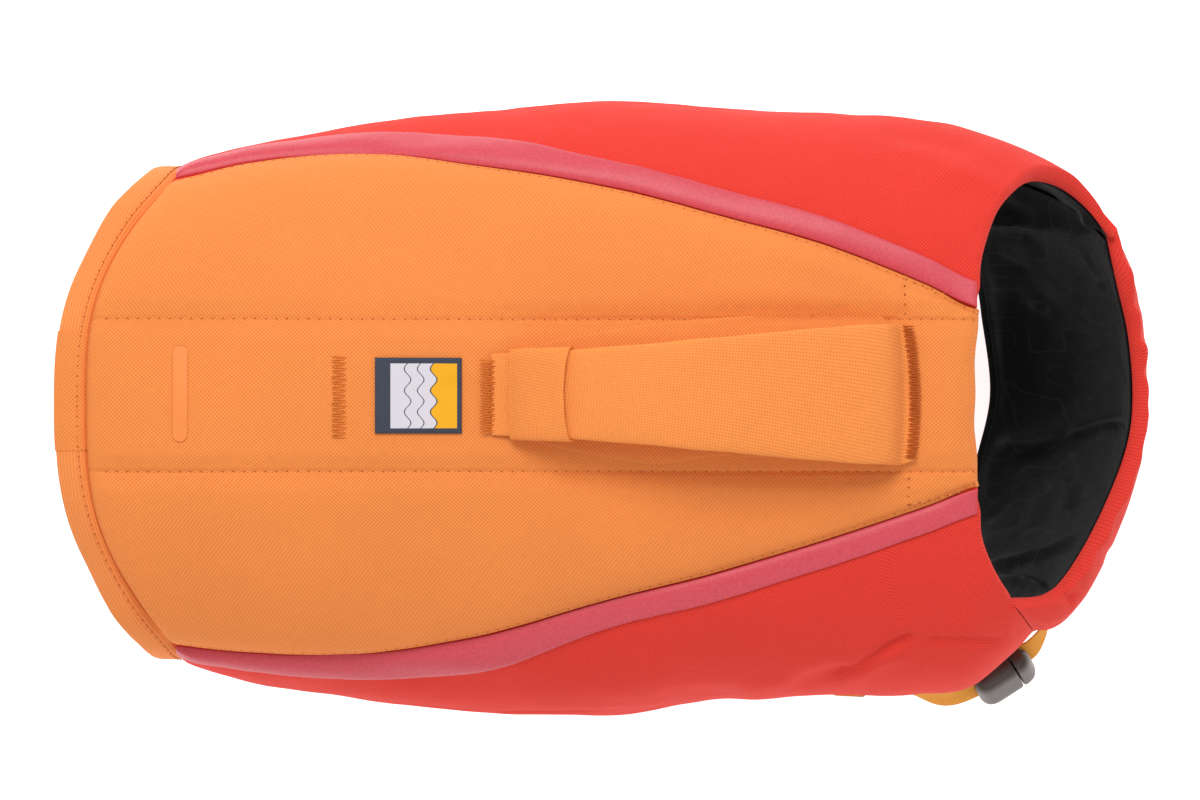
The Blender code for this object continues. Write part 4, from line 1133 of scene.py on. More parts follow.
def run_tree(name: str, lines: Sequence[Array], tree: bpy.types.NodeTree,
             values: Mapping[str, Any]) -> bpy.types.Object:
    """Run a geometry node tree on lines of points and keep the result as a plain mesh.

    Args:
        name: The object's name.
        lines: The lines, each a row of points in millimetres.
        tree: The tree.
        values: The tree's inputs by name.

    Returns:
        The object, with no modifier left on it.
    """
    mesh = bpy.data.meshes.new(name + "_lines")
    corners, edges = [], []
    for line in lines:
        edges += [(len(corners) + index, len(corners) + index + 1) for index in range(len(line) - 1)]
        corners += (line * MM).tolist()
    mesh.from_pydata(corners, edges, [])
    made = linked(name, mesh)
    change = made.modifiers.new("sewing", "NODES")
    change.node_group = tree
    for item in tree.interface.items_tree:
        if item.item_type == "SOCKET" and item.in_out == "INPUT" and item.name in values:
            change[item.identifier] = values[item.name]
    result = plain_mesh(made)
    made.modifiers.remove(change)
    made.data = result
    result.name = name
    bpy.data.meshes.remove(mesh)
    return made


@dataclass(frozen=True)
class Sewing:
    """The machine's settings for a lockstitch row, with a small dark bead of painted shade at the needle holes
    between every two stitches.
    """

    pitch: float = 4.9
    thread: float = 0.6
    hole: float = 0.8

    def row(self, name: str, lines: Sequence[Array], slot: Slot, thread: Finish, hole: Finish) -> None:
        """Sew stitches along lines.

        Args:
            name: The piece's name; the piece of painted shade at the needle holes adds a word to it.
            lines: The lines on the cloth, in millimetres.
            slot: Not used.
            thread: The thread's finish.
            hole: The finish of the dark beads of painted shade at the needle holes.
        """
        pitch = self.pitch * MM
        # The second row is dark beads of painted shade, where the needle holes would hold shadow.
        rows = ((name, pitch * 0.5, pitch * 0.84, self.thread, thread),
                (name + "_holes", 0.0, self.hole * 1.3 * MM, self.hole, hole))
        for word, start, length, width, finish in rows:
            made = run_tree(word, lines, stitch_tree(), {"Pitch": pitch, "Start": start, "Length": length,
                                                         "Width": width * MM, "Finish": finish.material})
            put(made)


@dataclass(frozen=True)
class BarTack:
    """A dense bar of zigzag stitches that holds a strap's end."""

    name: str
    width: float
    # The real threads lie 0.9 mm apart. They are drawn coarser, so that they show.
    pitch: float = 1.2
    thread: float = 0.72
    slant: float = 0.06
    across: tuple[float, float, float] = (1.0, 0.0, 0.0)

    def sew(self, line: Array, finish: Finish) -> None:
        """Sew the bar along a line of points on the cloth.

        Args:
            line: The points the bar runs along, in millimetres.
            finish: The thread's finish.
        """
        made = run_tree(self.name, [line], tack_tree(), {"Pitch": self.pitch * MM, "Slant": self.slant,
                                                         "Length": self.width * MM, "Width": self.thread * MM,
                                                         "Across": self.across, "Finish": finish.material})
        put(made)


# -----------------------------------------------------------------------------
# Forms of the panels


@dataclass(frozen=True)
class Figure:
    """The general figure that fills out the jacket, as rounded sections across the body."""

    rows: tuple[Section, ...] = SECTIONS
    roundness: float = 2.4
    belly: float = 120.0

    @cached_property
    def places(self) -> Array:
        """Where the sections lie along the body."""
        return column(self.rows, "x")

    def size(self, name: str, x: Array) -> Array:
        """One size of the figure at places along the body."""
        return table_value(self.rows, name, x)

    def angles(self, seam: Array, reach: Array, top: Array, depth: Array, hem: Array) -> tuple[Array, Array]:
        """The angles round the figure, from its top, of the seam and of the hem.

        Args:
            seam: How far out the seam lies.
            reach: The figure's half width.
            top: The height of its top.
            depth: How far its widest line lies under its top.
            hem: The height of the hem.

        Returns:
            The seam's angle and the hem's, in radians.
        """
        across = seam / reach
        up = (1.0 - across ** self.roundness) ** (1.0 / self.roundness)
        down = (top - depth - hem) / self.belly
        across_hem = (1.0 - down ** self.roundness) ** (1.0 / self.roundness)
        return np.arctan2(across, up), np.arctan2(across_hem, -down)

    def side_angles(self, side: Side, x: Optional[Array] = None) -> tuple[Array, Array]:
        """Those angles on one side, at the sections or at places along the body.

        Args:
            side: The side.
            x: Places along the body, or None for the sections.

        Returns:
            The seam's angle and the hem's, in radians.
        """
        names = (f"seam_{side.word}", f"side_{side.word}", "top", "depth", "hem")
        if x is None:
            return self.angles(*[column(self.rows, name) for name in names])
        return self.angles(*[self.size(name, x) for name in names])

    def across_at(self, side: Side, x: Array, z: Array) -> Array:
        """Where heights lie across a side panel, from 0 at the seam to 1 at the hem.

        Args:
            side: The side.
            x: Places along the body.
            z: Heights there.

        Returns:
            The places across the panel.
        """
        top, depth = self.size("top", x), self.size("depth", x)
        up = (z - top + depth) / np.where(z > top - depth, depth, self.belly)
        across = (1.0 - np.abs(up) ** self.roundness) ** (1.0 / self.roundness)
        seam, hem = self.side_angles(side, x)
        return (np.arctan2(across, up) - seam) / (hem - seam)


FIGURE = Figure()


def sewn_ramp(distance: Array, edge: float, full: Array, reach: float = 15.0) -> Array:
    """Foam thickness at a distance from a sewn edge, where it is pressed thin."""
    return edge + (full - edge) * np.sqrt(1.0 - (1.0 - np.clip(distance / reach, 0.0, 1.0)) ** 2)


def groove(distance: Array, depth: float, width: float = 0.9) -> Array:
    """The dent that a row of stitches pulls into padded cloth, below zero."""
    return -depth * np.exp(-((distance / width) ** 2))


class Form:
    """A panel: an inner face through fold lines, its foam, and the swells and creases of its outer cloth."""

    swell: float = 0.7
    length: float = 150.0
    creases: tuple[Crease, ...] = ()

    @property
    def knots(self) -> Array:
        """Where the fold lines lie along the panel."""
        return FIGURE.places

    def lines(self, v: Array) -> Array:
        """The points of every fold line at places across the panel."""
        raise NotImplementedError

    def thickness(self, s: Array, v: Array) -> Array:
        """The foam's thickness."""
        raise NotImplementedError

    def sewn(self, s: Array, v: Array) -> Array:
        """How far rows of stitches pull the outer cloth in."""
        return np.zeros_like(s)

    def calm(self, s: Array, v: Array) -> Array:
        """How much of its swells and creases the cloth keeps: none where a seam holds it to its neighbour."""
        return np.ones_like(s)

    def across_mm(self, s: Array, v: Array) -> Array:
        """How far across the panel a place lies, in millimetres."""
        return v * self.length

    def shared_normals(self) -> tuple[Any, ...]:
        """The directions that a panel shares with its neighbours, as (s, reach, function) each."""
        return ()

    def point(self, s: Array, v: Array) -> Array:
        """Points of the inner face: s along the panel, v across it."""
        s, v = matched(s, v)
        return spline(self.knots, self.lines(v.ravel()), s.ravel()).reshape(s.shape + (3,))

    def normal(self, s: Array, v: Array) -> Array:
        """The directions straight out of the panel, away from the wearer.

        Args:
            s: Places along the panel.
            v: Places across the panel.

        Returns:
            Directions of length 1.
        """
        s, v = matched(s, v)
        step = STEP * (self.knots[-1] - self.knots[0])
        along = self.point(s + step, v) - self.point(s - step, v)
        across = self.point(s, v + STEP) - self.point(s, v - STEP)
        out = unit(np.cross(along, across))
        point = self.point(s, v)
        facing = np.einsum("...i,...i->...", out, point - wearer_middle(point))
        out = np.where(facing[..., None] > 0, out, -out)
        for seam, reach, shared in self.shared_normals():
            share = (1.0 - smoothstep(np.abs(s - seam) / reach))[..., None]
            out = unit(out * (1.0 - share) + shared(v) * share)
        return out

    def relief(self, s: Array, v: Array) -> Array:
        """How far the outer cloth stands out from smooth foam.

        Args:
            s: Places along the panel.
            v: Places across the panel.

        Returns:
            Millimetres out, below zero where the cloth is pulled in.
        """
        s, v = matched(s, v)
        point, normal = self.point(s, v), self.normal(s, v)
        surface = point + normal * self.thickness(s, v)[..., None]
        total = ripples(point, 48.0, 3) * self.swell + ripples(point, 15.0, 5) * self.swell * 0.3
        total = total + self.sewn(s, v)
        plan, panel = plan_of(surface), np.stack((s, self.across_mm(s, v)), axis=-1)
        seen = smoothstep((normal[..., 2] + 0.05) / 0.25)
        for crease in self.creases:
            if crease.space is Space.PLAN:
                total = total + crease.raised(plan) * seen
            else:
                total = total + crease.raised(panel)
        return total * self.calm(s, v)

    def outer(self, s: Array, v: Array, lift: float = 0.0) -> Array:
        """Points of the outer cloth, moved out by lift."""
        high = self.thickness(s, v) + self.relief(s, v) + lift
        return self.point(s, v) + self.normal(s, v) * high[..., None]


@dataclass(frozen=True)
class BackPanel(Form):
    """The orange foam panel over the back, sewn into three channels from tail to neck."""

    foam: float = 12.5
    channel_foam: float = 11.0
    channel_left: float = 37.5
    channel_right: float = -30.0
    channel_ramp: float = 9.0
    sewn_edge: float = 5.0
    end_edge: float = 6.5
    tail_middle: float = -236.0
    tail_corner: float = -197.0
    tail_bow: float = 3.1
    neck_corner: float = 173.0
    neck_bow: float = 2.0
    edge_row: float = 2.3
    row_end: float = 171.0
    rows: int = 210
    columns: tuple[int, int, int] = (38, 42, 38)

    creases = (
        Crease(((139.0, 55.5), (141.5, 48.0), (139.5, 39.0)), -1.2, 2.0, fade=0.15),
        Crease(((141.0, -34.0), (142.0, -44.5)), -1.2, 2.0, fade=0.15),
        Crease(((139.0, 55.0), (156.0, 50.0), (172.0, 45.0)), -1.0, 1.6, fade=0.12),
        Crease(((-52.0, 6.0), (-62.0, 7.0), (-75.0, 9.0)), -0.9, 5.0),
        Crease(((-110.0, 33.0), (-70.0, 30.0), (-30.0, 33.0)), 0.8, 7.0),
        Crease(((-190.0, -60.0), (-150.0, -64.0), (-96.0, -58.0)), -0.8, 12.0),
        Crease(((-170.0, 74.0), (-120.0, 80.0), (-66.0, 76.0)), -0.8, 12.0),
        Crease(((20.0, -44.0), (70.0, -47.0), (120.0, -42.0)), -0.9, 6.0),
        Crease(((40.0, 52.0), (90.0, 50.0), (128.0, 44.0)), 0.8, 6.0),
    )

    def seam_reach(self, x: Array, v: Array) -> Array:
        """How far the seam lies from the middle, on the side that v is on."""
        return np.where(v >= 0, FIGURE.size("seam_left", x.ravel()).reshape(x.shape),
                        FIGURE.size("seam_right", x.ravel()).reshape(x.shape))

    def lines(self, v: Array) -> Array:
        """The points of every section of the back: v is -1 at the right seam and 1 at the left seam.

        Args:
            v: Places across the panel.

        Returns:
            The points of each section.
        """
        left = (v >= 0)[None, :]
        seam = np.where(left, column(SECTIONS, "seam_left")[:, None], column(SECTIONS, "seam_right")[:, None])
        reach = np.where(left, column(SECTIONS, "side_left")[:, None], column(SECTIONS, "side_right")[:, None])
        y = v[None, :] * seam
        rise = (1.0 - (np.abs(y) / reach) ** FIGURE.roundness) ** (1.0 / FIGURE.roundness)
        z = column(SECTIONS, "top")[:, None] - column(SECTIONS, "depth")[:, None] * (1.0 - rise)
        return np.stack((np.broadcast_to(FIGURE.places[:, None], y.shape), y, z), axis=-1)

    def tail_edge(self, v: Array) -> Array:
        """Where the tail edge lies along the body."""
        return self.tail_middle + (self.tail_corner - self.tail_middle) * np.abs(v) ** self.tail_bow

    def neck_edge(self, v: Array) -> Array:
        """Where the neck edge lies along the body, a little wavy."""
        return self.neck_corner - self.neck_bow * (1.0 - v * v) + 0.35 * np.sin(9.0 * v + 0.6)

    def thickness(self, s: Array, v: Array) -> Array:
        """The foam: full in its channels, thin at its seams.

        Args:
            s: Places along the panel.
            v: Places across the panel.

        Returns:
            The thickness in millimetres.
        """
        s, v = matched(s, v)
        reach = self.seam_reach(s, v)
        y = v * reach
        to_channel = np.minimum(np.abs(y - self.channel_left), np.abs(y - self.channel_right))
        full = self.channel_foam + (self.foam - self.channel_foam) * smoothstep(to_channel / self.channel_ramp)
        ends = np.maximum(np.minimum(s - self.tail_edge(v), self.neck_edge(v) - s), 0.0)
        return np.minimum(sewn_ramp(reach - np.abs(y), self.sewn_edge, full),
                          sewn_ramp(ends, self.end_edge, full))

    def sewn(self, s: Array, v: Array) -> Array:
        """The channels' rows and the row inside the seams pull the cloth in, with small puckers beside.

        Args:
            s: Places along the panel.
            v: Places across the panel.

        Returns:
            Millimetres out, below zero where the cloth is pulled in.
        """
        reach = self.seam_reach(s, v)
        y = v * reach
        total = np.zeros_like(s)
        for row in (self.channel_left, self.channel_right):
            away = np.abs(y - row)
            pucker = np.sin(s * 0.62 + 1.7 * np.sin(s * 0.093 + row)) * np.sin(s * 0.19 + row)
            total += groove(away, 0.7) + 0.3 * pucker * np.exp(-((away - 3.4) / 2.6) ** 2)
        total += groove(reach - np.abs(y) - self.edge_row, 0.55, 0.8)
        return total

    def across_mm(self, s: Array, v: Array) -> Array:
        """How far across the panel a place lies, in millimetres."""
        return v * self.seam_reach(s, v)

    def place(self, x: Array, y: Array) -> tuple[Array, Array]:
        """The (s, v) place of points seen from above."""
        x, y = matched(x, y)
        return x, y / self.seam_reach(x, y)

    def ruled(self, start: tuple[float, float], end: tuple[float, float], count: int, lift: float) -> Array:
        """A line on the outer cloth that is straight as seen from above.

        Args:
            start: Where it starts.
            end: Where it ends.
            count: How many points it gets.
            lift: How far it lies above the cloth.

        Returns:
            Its points.
        """
        t = np.linspace(0.0, 1.0, count)
        x, y = (begin + (stop - begin) * t for begin, stop in zip(start, end))
        return self.outer(*self.place(x, y), lift=lift)

    def grid(self) -> tuple[Array, Array]:
        """The places of the panel's grid, crowded along its rows of stitches.

        Returns:
            The places along the panel and across it.
        """
        u = np.linspace(0.0, 1.0, self.rows)[:, None]
        shares = [crowded(count, 0.0, 1.0)[min(part, 1):] for part, count in enumerate(self.columns)]
        x = np.broadcast_to(self.tail_middle + (self.neck_corner - self.tail_middle) * u,
                            (self.rows, sum(map(len, shares)))).copy()
        # The tail and the neck edge curve with y, and the seams with x, so the places settle in a few rounds.
        for _ in range(7):
            limits = (SEAM_SLIT - FIGURE.size("seam_right", x.ravel()).reshape(x.shape),
                      np.full_like(x, self.channel_right), np.full_like(x, self.channel_left),
                      FIGURE.size("seam_left", x.ravel()).reshape(x.shape) - SEAM_SLIT)
            parts, first = [], 0
            for begin, stop, t in zip(limits, limits[1:], shares):
                span = np.s_[:, first:first + len(t)]
                parts.append(begin[span] + (stop - begin)[span] * t)
                first += len(t)
            y = np.concatenate(parts, axis=1)
            v = y / self.seam_reach(x, y)
            x = self.tail_edge(v) + (self.neck_edge(v) - self.tail_edge(v)) * u
        return x, y / self.seam_reach(x, y)

    def build(self) -> None:
        """Make the panel and its rows of stitches."""
        s, v = self.grid()
        inner, outer = self.point(s, v), self.outer(s, v)
        # The tail edge is rounded further out at both corners, where the binding cuts across them.
        tail = 0.4 + 2.4 * smoothstep((np.abs(v[0]) - 0.7) / 0.25)
        piece = Wall(inner, outer, (tail, 1.6, 0.0, 0.0)).build("back_cloth", flat_places(outer),
                                                             [Finish.ORANGE, Finish.LINING])
        put(piece, ["back_panel"])
        start = self.tail_edge(0.3) + 9.0
        lines = [self.ruled((start, row), (self.row_end, row), 240, THREAD_LIFT)
                 for row in (self.channel_left, self.channel_right)]
        x = np.linspace(self.tail_corner + 3.0, self.row_end + 0.5, 240)
        for sign in (1.0, -1.0):
            reach = self.seam_reach(x, np.full_like(x, sign))
            lines.append(self.outer(*self.place(x, sign * (reach - self.edge_row)), lift=THREAD_LIFT))
        Sewing().row("back_stitches", lines, Slot.ORANGE, Finish.ORANGE_THREAD, Finish.ORANGE_HOLE)
        ends = (((139.5, 55.5), (139.5, 40.0)), ((141.2, -33.0), (141.2, -44.5)),
                ((140.0, 55.0), (172.0, 44.8)), ((140.4, 57.4), (172.0, 47.2)),
                ((142.0, -44.6), (172.0, -38.0)))
        lines = [self.ruled(start, end, 40, THREAD_LIFT) for start, end in ends]
        Sewing(pitch=4.1, hole=1.0).row("back_end_stitches", lines, Slot.ORANGE, Finish.ORANGE_THREAD,
                                        Finish.ORANGE_HOLE)


@dataclass(frozen=True)
class SidePanel(Form):
    """A red foam panel from the back panel's seam down the ribs, with the shoulder beside the neck."""

    side: Side = Side.LEFT
    foam: float = 10.0
    sewn_edge: float = 5.0
    hem_edge: float = 6.5
    length: float = 150.0
    tail_corner: float = -197.0
    tail_shift: float = 11.0
    hem_row: float = 6.0
    rows: int = 190
    columns: int = 110

    swell = 1.0

    @property
    def creases(self) -> tuple[Crease, ...]:
        """The folds of this side."""
        return SIDE_CREASES[self.side]

    @cached_property
    def front_knots(self) -> Array:
        """The place across the panel of each row of its front outline.

        Returns:
            A place from 0 at the seam to 1 at the hem for each row.
        """
        rows = FRONTS[self.side]
        found = FIGURE.across_at(self.side, column(rows, "x"), column(rows, "z"))
        found[0], found[-1] = 0.0, 1.0
        return found

    def front(self, name: str, v: Array) -> Array:
        """A column of the front outline at places across the panel."""
        found = spline(self.front_knots, column(FRONTS[self.side], name), np.ravel(v).astype(float))
        return found.reshape(np.shape(v))

    def lines(self, v: Array) -> Array:
        """The points of every section of the side: v is 0 at the seam and 1 at the hem.

        Args:
            v: Places across the panel.

        Returns:
            The points of each section.
        """
        seam, hem = FIGURE.side_angles(self.side)
        angle = seam[:, None] + (hem - seam)[:, None] * v[None, :]
        sine, cosine = np.sin(angle), np.cos(angle)
        power = FIGURE.roundness
        radius = (np.abs(sine) ** power + np.abs(cosine) ** power) ** (1.0 / power)
        reach = column(SECTIONS, f"side_{self.side.word}")[:, None]
        top_depth = column(SECTIONS, "depth")[:, None]
        depth = np.where(cosine > 0, top_depth, FIGURE.belly)
        y = self.side.value * reach * sine / radius
        z = column(SECTIONS, "top")[:, None] - top_depth + depth * cosine / radius
        return np.stack((np.broadcast_to(FIGURE.places[:, None], y.shape), y, z), axis=-1)

    def thickness(self, s: Array, v: Array) -> Array:
        """The foam: thin at the seam, the hem and the tail.

        Args:
            s: Places along the panel.
            v: Places across the panel.

        Returns:
            The thickness in millimetres.
        """
        s, v = matched(s, v)
        foam = self.front("foam", np.clip(v, 0.0, 1.0))
        full = self.foam + (foam - self.foam) * smoothstep((s - 110.0) / (self.front("x", v) - 110.0))
        seam = sewn_ramp(np.maximum(v, 0.0) * self.length, self.sewn_edge, full)
        seam = seam + (full - seam) * smoothstep((s - 155.0) / 18.0)
        hem = sewn_ramp(np.maximum(1.0 - v, 0.0) * self.length, self.hem_edge, full)
        tail = sewn_ramp(np.maximum(s - self.tail_corner, 0.0), self.sewn_edge + 1.5, full)
        return np.minimum(np.minimum(seam, hem), tail)

    def sewn(self, s: Array, v: Array) -> Array:
        """The hem's row pulls the cloth in, with small puckers beside it.

        Args:
            s: Places along the panel.
            v: Places across the panel.

        Returns:
            Millimetres out, below zero where the cloth is pulled in.
        """
        to_hem = (1.0 - v) * self.length
        total = groove(to_hem - self.hem_row, 0.6, 1.0)
        pucker = np.sin(s * 0.4 + 1.3 * np.sin(s * 0.07)) * np.sin(s * 0.11 + 0.7)
        return total + 0.8 * pucker * np.exp(-((to_hem - 3.0) / 8.0) ** 2)

    def beside_bib(self, v: Array) -> Array:
        """1 where the front edge is sewn to the bib, and 0 elsewhere."""
        start, end = (self.front_knots[row] for row in BIB_ROWS[self.side])
        return smoothstep((v - start + 0.04) / 0.03) * smoothstep((end + 0.04 - v) / 0.03)

    def calm(self, s: Array, v: Array) -> Array:
        """The cloth lies smooth beside the bib's seam."""
        to_front = self.front("x", np.clip(v, 0.0, 1.0)) - s
        return 1.0 - self.beside_bib(v) * (1.0 - smoothstep(to_front / 10.0))

    def grid(self) -> tuple[Array, Array]:
        """The places of the panel's grid.

        Returns:
            The places along the panel and across it.
        """
        gap = SEAM_SLIT / self.length
        v = np.broadcast_to(crowded(self.columns, gap, 1.0, 0.35)[None, :], (self.rows, self.columns))
        u = crowded(self.rows, 0.0, 1.0, 0.35)[:, None]
        tail = self.tail_corner + self.tail_shift * v
        return tail + (self.front("x", v) - tail) * u, v

    def build(self) -> None:
        """Make the panel and its row of stitches."""
        s, v = self.grid()
        inner, outer = self.point(s, v), self.outer(s, v)
        rim = 2.2 * smoothstep((v[-1] - 0.01) / 0.05) * (1.0 - 0.95 * self.beside_bib(v[-1]))
        name = f"side_cloth_{self.side.word}"
        tail = 0.4 + 2.0 * smoothstep((0.16 - v[0]) / 0.12)
        piece = Wall(inner, outer, (tail, rim, 0.0, 2.0)).build(name, flat_places(outer),
                                                             [Finish.RED, Finish.LINING])
        put(piece, [f"side_panel_{self.side.word}"])
        x = np.linspace(self.tail_corner + 16.0, 158.0, 220)
        lines = [self.outer(x, np.full_like(x, 1.0 - self.hem_row / self.length), lift=THREAD_LIFT)]
        Sewing(pitch=4.5).row(f"side_stitches_{self.side.word}", lines, Slot.RED, Finish.RED_THREAD,
                              Finish.RED_HOLE)


SIDE_CREASES: dict[Side, tuple[Crease, ...]] = {
    Side.LEFT: (
        Crease(((-150.0, 109.0), (-90.0, 121.0), (-30.0, 128.0)), -1.3, 5.0),
        Crease(((150.0, 112.0), (176.0, 103.0), (205.0, 88.0)), 1.7, 6.0),
        Crease(((128.0, 126.0), (150.0, 122.0), (178.0, 116.0)), -1.9, 4.0),
        Crease(((170.0, 72.0), (190.0, 86.0), (214.0, 92.0)), -1.5, 5.0),
        Crease(((20.0, 118.0), (60.0, 116.0), (110.0, 112.0)), -0.9, 9.0),
        Crease(((-120.0, 70.0), (-60.0, 82.0), (10.0, 78.0)), -2.3, 7.0, Space.PANEL),
        Crease(((-30.0, 104.0), (40.0, 96.0), (110.0, 106.0)), 1.9, 8.0, Space.PANEL),
        Crease(((30.0, 122.0), (90.0, 128.0), (150.0, 118.0)), -2.5, 6.0, Space.PANEL),
        Crease(((-170.0, 110.0), (-110.0, 118.0), (-50.0, 128.0)), -1.9, 6.0, Space.PANEL),
    ),
    Side.RIGHT: (
        Crease(((104.0, -128.0), (118.0, -121.5), (131.0, -113.0), (142.0, -107.5), (149.0, -108.0)), -2.9, 2.0,
               fade=0.2),
        Crease(((110.0, -129.0), (128.0, -118.5), (146.0, -113.0)), 1.8, 4.5),
        Crease(((147.0, -108.3), (166.0, -108.6), (189.0, -109.0)), -1.9, 2.0, fade=0.2),
        Crease(((82.0, -131.0), (100.0, -126.5), (117.0, -121.0)), -2.5, 4.5),
        Crease(((60.0, -134.0), (78.0, -129.0), (96.0, -127.0)), 1.5, 5.0),
        Crease(((187.0, -90.0), (193.0, -95.0), (194.0, -101.0), (191.5, -108.0)), -2.3, 2.2, fade=0.2),
        Crease(((205.0, -86.0), (212.0, -88.0), (219.0, -91.0)), -3.0, 3.4),
        Crease(((20.0, -137.0), (45.0, -133.0), (74.0, -135.0)), -1.7, 4.0),
        Crease(((-150.0, -112.0), (-90.0, -124.0), (-30.0, -131.0)), -1.1, 6.0),
        Crease(((176.0, -60.0), (182.0, -74.0), (188.0, -88.0)), 1.3, 6.0),
        Crease(((-110.0, 74.0), (-50.0, 80.0), (20.0, 72.0)), -2.3, 7.0, Space.PANEL),
        Crease(((-20.0, 98.0), (50.0, 104.0), (104.0, 98.0)), 1.9, 8.0, Space.PANEL),
        Crease(((20.0, 126.0), (80.0, 122.0), (140.0, 130.0)), -2.5, 6.0, Space.PANEL),
        Crease(((-170.0, 116.0), (-120.0, 112.0), (-60.0, 124.0)), -1.9, 6.0, Space.PANEL),
    ),
}


@dataclass(frozen=True)
class Bib(Form):
    """The red padded bib round the front of the neck, from the left closure to the right shoulder's seam."""

    left: SidePanel
    right: SidePanel
    hem_wave: tuple[float, ...] = (0.05, 0.06, 0.014, -0.03, 0.024, 0.06, 0.07, 0.055, 0.0)
    foam: float = 8.0
    edge: float = 5.5
    rows: int = 190
    columns: int = 84
    hem_row: float = 6.0
    length: float = 90.0

    swell = 0.5
    creases = (
        Crease(((246.0, 30.0), (251.5, 31.0), (256.0, 32.5)), -2.1, 3.2, fade=0.2),
        Crease(((247.0, 46.0), (251.0, 47.0)), -1.8, 3.2, fade=0.2),
        Crease(((249.0, 14.0), (256.0, 15.0)), -1.8, 3.6, fade=0.2),
        Crease(((247.0, -8.0), (254.0, -9.0)), -1.6, 3.6, fade=0.2),
        Crease(((206.0, -85.5), (212.0, -88.0), (219.0, -90.5)), -2.9, 3.0, fade=0.2),
        Crease(((228.0, -66.0), (236.0, -70.0)), -1.6, 3.2, fade=0.2),
        Crease(((1.0, 18.0), (1.4, 40.0), (2.2, 66.0)), -2.2, 7.0, Space.PANEL),
        Crease(((3.0, 30.0), (3.3, 60.0), (3.2, 84.0)), -2.1, 7.0, Space.PANEL),
        Crease(((5.4, 22.0), (5.0, 48.0), (4.8, 78.0)), 1.9, 8.0, Space.PANEL),
    )

    @property
    def knots(self) -> Array:
        """Where the fold lines lie along the bib."""
        return np.arange(len(FOLDS) + 2, dtype=float)

    def beside(self, panel: SidePanel, v: Array) -> tuple[Array, Array]:
        """The places on a side panel's front outline that the bib is sewn to.

        Args:
            panel: The side panel.
            v: Places across the bib.

        Returns:
            The places along the side panel and across it.
        """
        start, end = (panel.front_knots[row] for row in BIB_ROWS[panel.side])
        across = start + (end - start) * v
        return panel.front("x", across), across

    def lines(self, v: Array) -> Array:
        """The points of every fold line: v is 0 at the neck rim and 1 at the lower edge.

        Args:
            v: Places across the bib.

        Returns:
            The points of each fold line.
        """
        found = []
        for panel in (self.left, self.right):
            x, across = self.beside(panel, v)
            found.append(panel.point(x + SEAM_GAP, across))
        share = v[:, None]
        middle = [np.array(fold.rim) * (1 - share) * (1 - 2 * share)
                  + np.array(fold.middle) * 4 * share * (1 - share)
                  + np.array(fold.edge) * share * (2 * share - 1) for fold in FOLDS]
        return np.stack([found[0], *middle, found[1]])

    def normal_beside(self, panel: SidePanel, v: Array) -> Array:
        """The directions out of a side panel where the bib is sewn to it."""
        x, across = self.beside(panel, np.ravel(v).astype(float))
        return panel.normal(x, across).reshape(np.shape(v) + (3,))

    def shared_normals(self) -> tuple[Any, ...]:
        """The directions shared with the two side panels where the bib is sewn to them."""
        seams = ((0.0, self.left), (self.knots[-1], self.right))
        return tuple((seam, 0.8, partial(self.normal_beside, panel)) for seam, panel in seams)

    def thickness(self, s: Array, v: Array) -> Array:
        """The foam, thinner at both ends.

        Args:
            s: Places along the bib.
            v: Places across the bib.

        Returns:
            The thickness in millimetres.
        """
        s, v = matched(s, v)
        edge = sewn_ramp(np.maximum(self.hem(s) - v, 0.0) * self.length, self.edge, self.foam)
        ends = 6.5 + 1.5 * smoothstep(s)
        return np.minimum(edge, ends) + 0.5 * smoothstep(s - 4.0) * smoothstep((1.0 - v) / 0.3)

    def sewn(self, s: Array, v: Array) -> Array:
        """The lower edge's row pulls the cloth in, and the rim is a little scalloped.

        Args:
            s: Places along the bib.
            v: Places across the bib.

        Returns:
            Millimetres out, below zero where the cloth is pulled in.
        """
        scallop = np.sin(s * 7.3 + 0.8) * np.sin(s * 2.1)
        total = groove((self.hem(s) - v) * self.length - self.hem_row, 0.6, 1.1)
        return total + 0.9 * scallop * np.exp(-((v * self.length - 2.0) / 6.0) ** 2)

    def calm(self, s: Array, v: Array) -> Array:
        """The cloth lies smooth beside both seams."""
        return smoothstep(s / 0.4) * smoothstep((self.knots[-1] - s) / 0.4)

    def hem(self, s: Array) -> Array:
        """The place across the bib of its wavy lower edge."""
        return 1.0 + spline(self.knots, np.array(self.hem_wave), s.ravel()).reshape(s.shape)

    def grid(self, margin: float = 0.0) -> tuple[Array, Array]:
        """The places of the bib's grid, or of a sheet that ends a share before its edges.

        Args:
            margin: How far inside the bib's edges the grid ends.

        Returns:
            The places along the bib and across it.
        """
        along = np.linspace(margin, self.knots[-1] - margin, self.rows)[:, None]
        share = crowded(self.columns, margin / 6.0, 1.0 - margin / 3.0, 0.4)[None, :]
        s = np.broadcast_to(along, (self.rows, self.columns))
        return s, share * self.hem(s)

    def build(self) -> None:
        """Make the bib and its row of stitches."""
        s, v = self.grid()
        inner, outer = self.point(s, v), self.outer(s, v)
        piece = Wall(inner, outer, (0.0, 0.0, 2.2, 1.2), lined=(3,)).build("bib_cloth", flat_places(outer),
                                                                         [Finish.RED, Finish.LINING])
        put(piece, ["chest_panel"])
        along = np.linspace(0.05, self.knots[-1] - 0.05, 200)
        lines = [self.outer(along, self.hem(along) - self.hem_row / self.length, lift=THREAD_LIFT)]
        Sewing(pitch=4.5).row("bib_stitches", lines, Slot.RED, Finish.RED_THREAD, Finish.RED_HOLE)


# -----------------------------------------------------------------------------
# Pieces laid on the panels


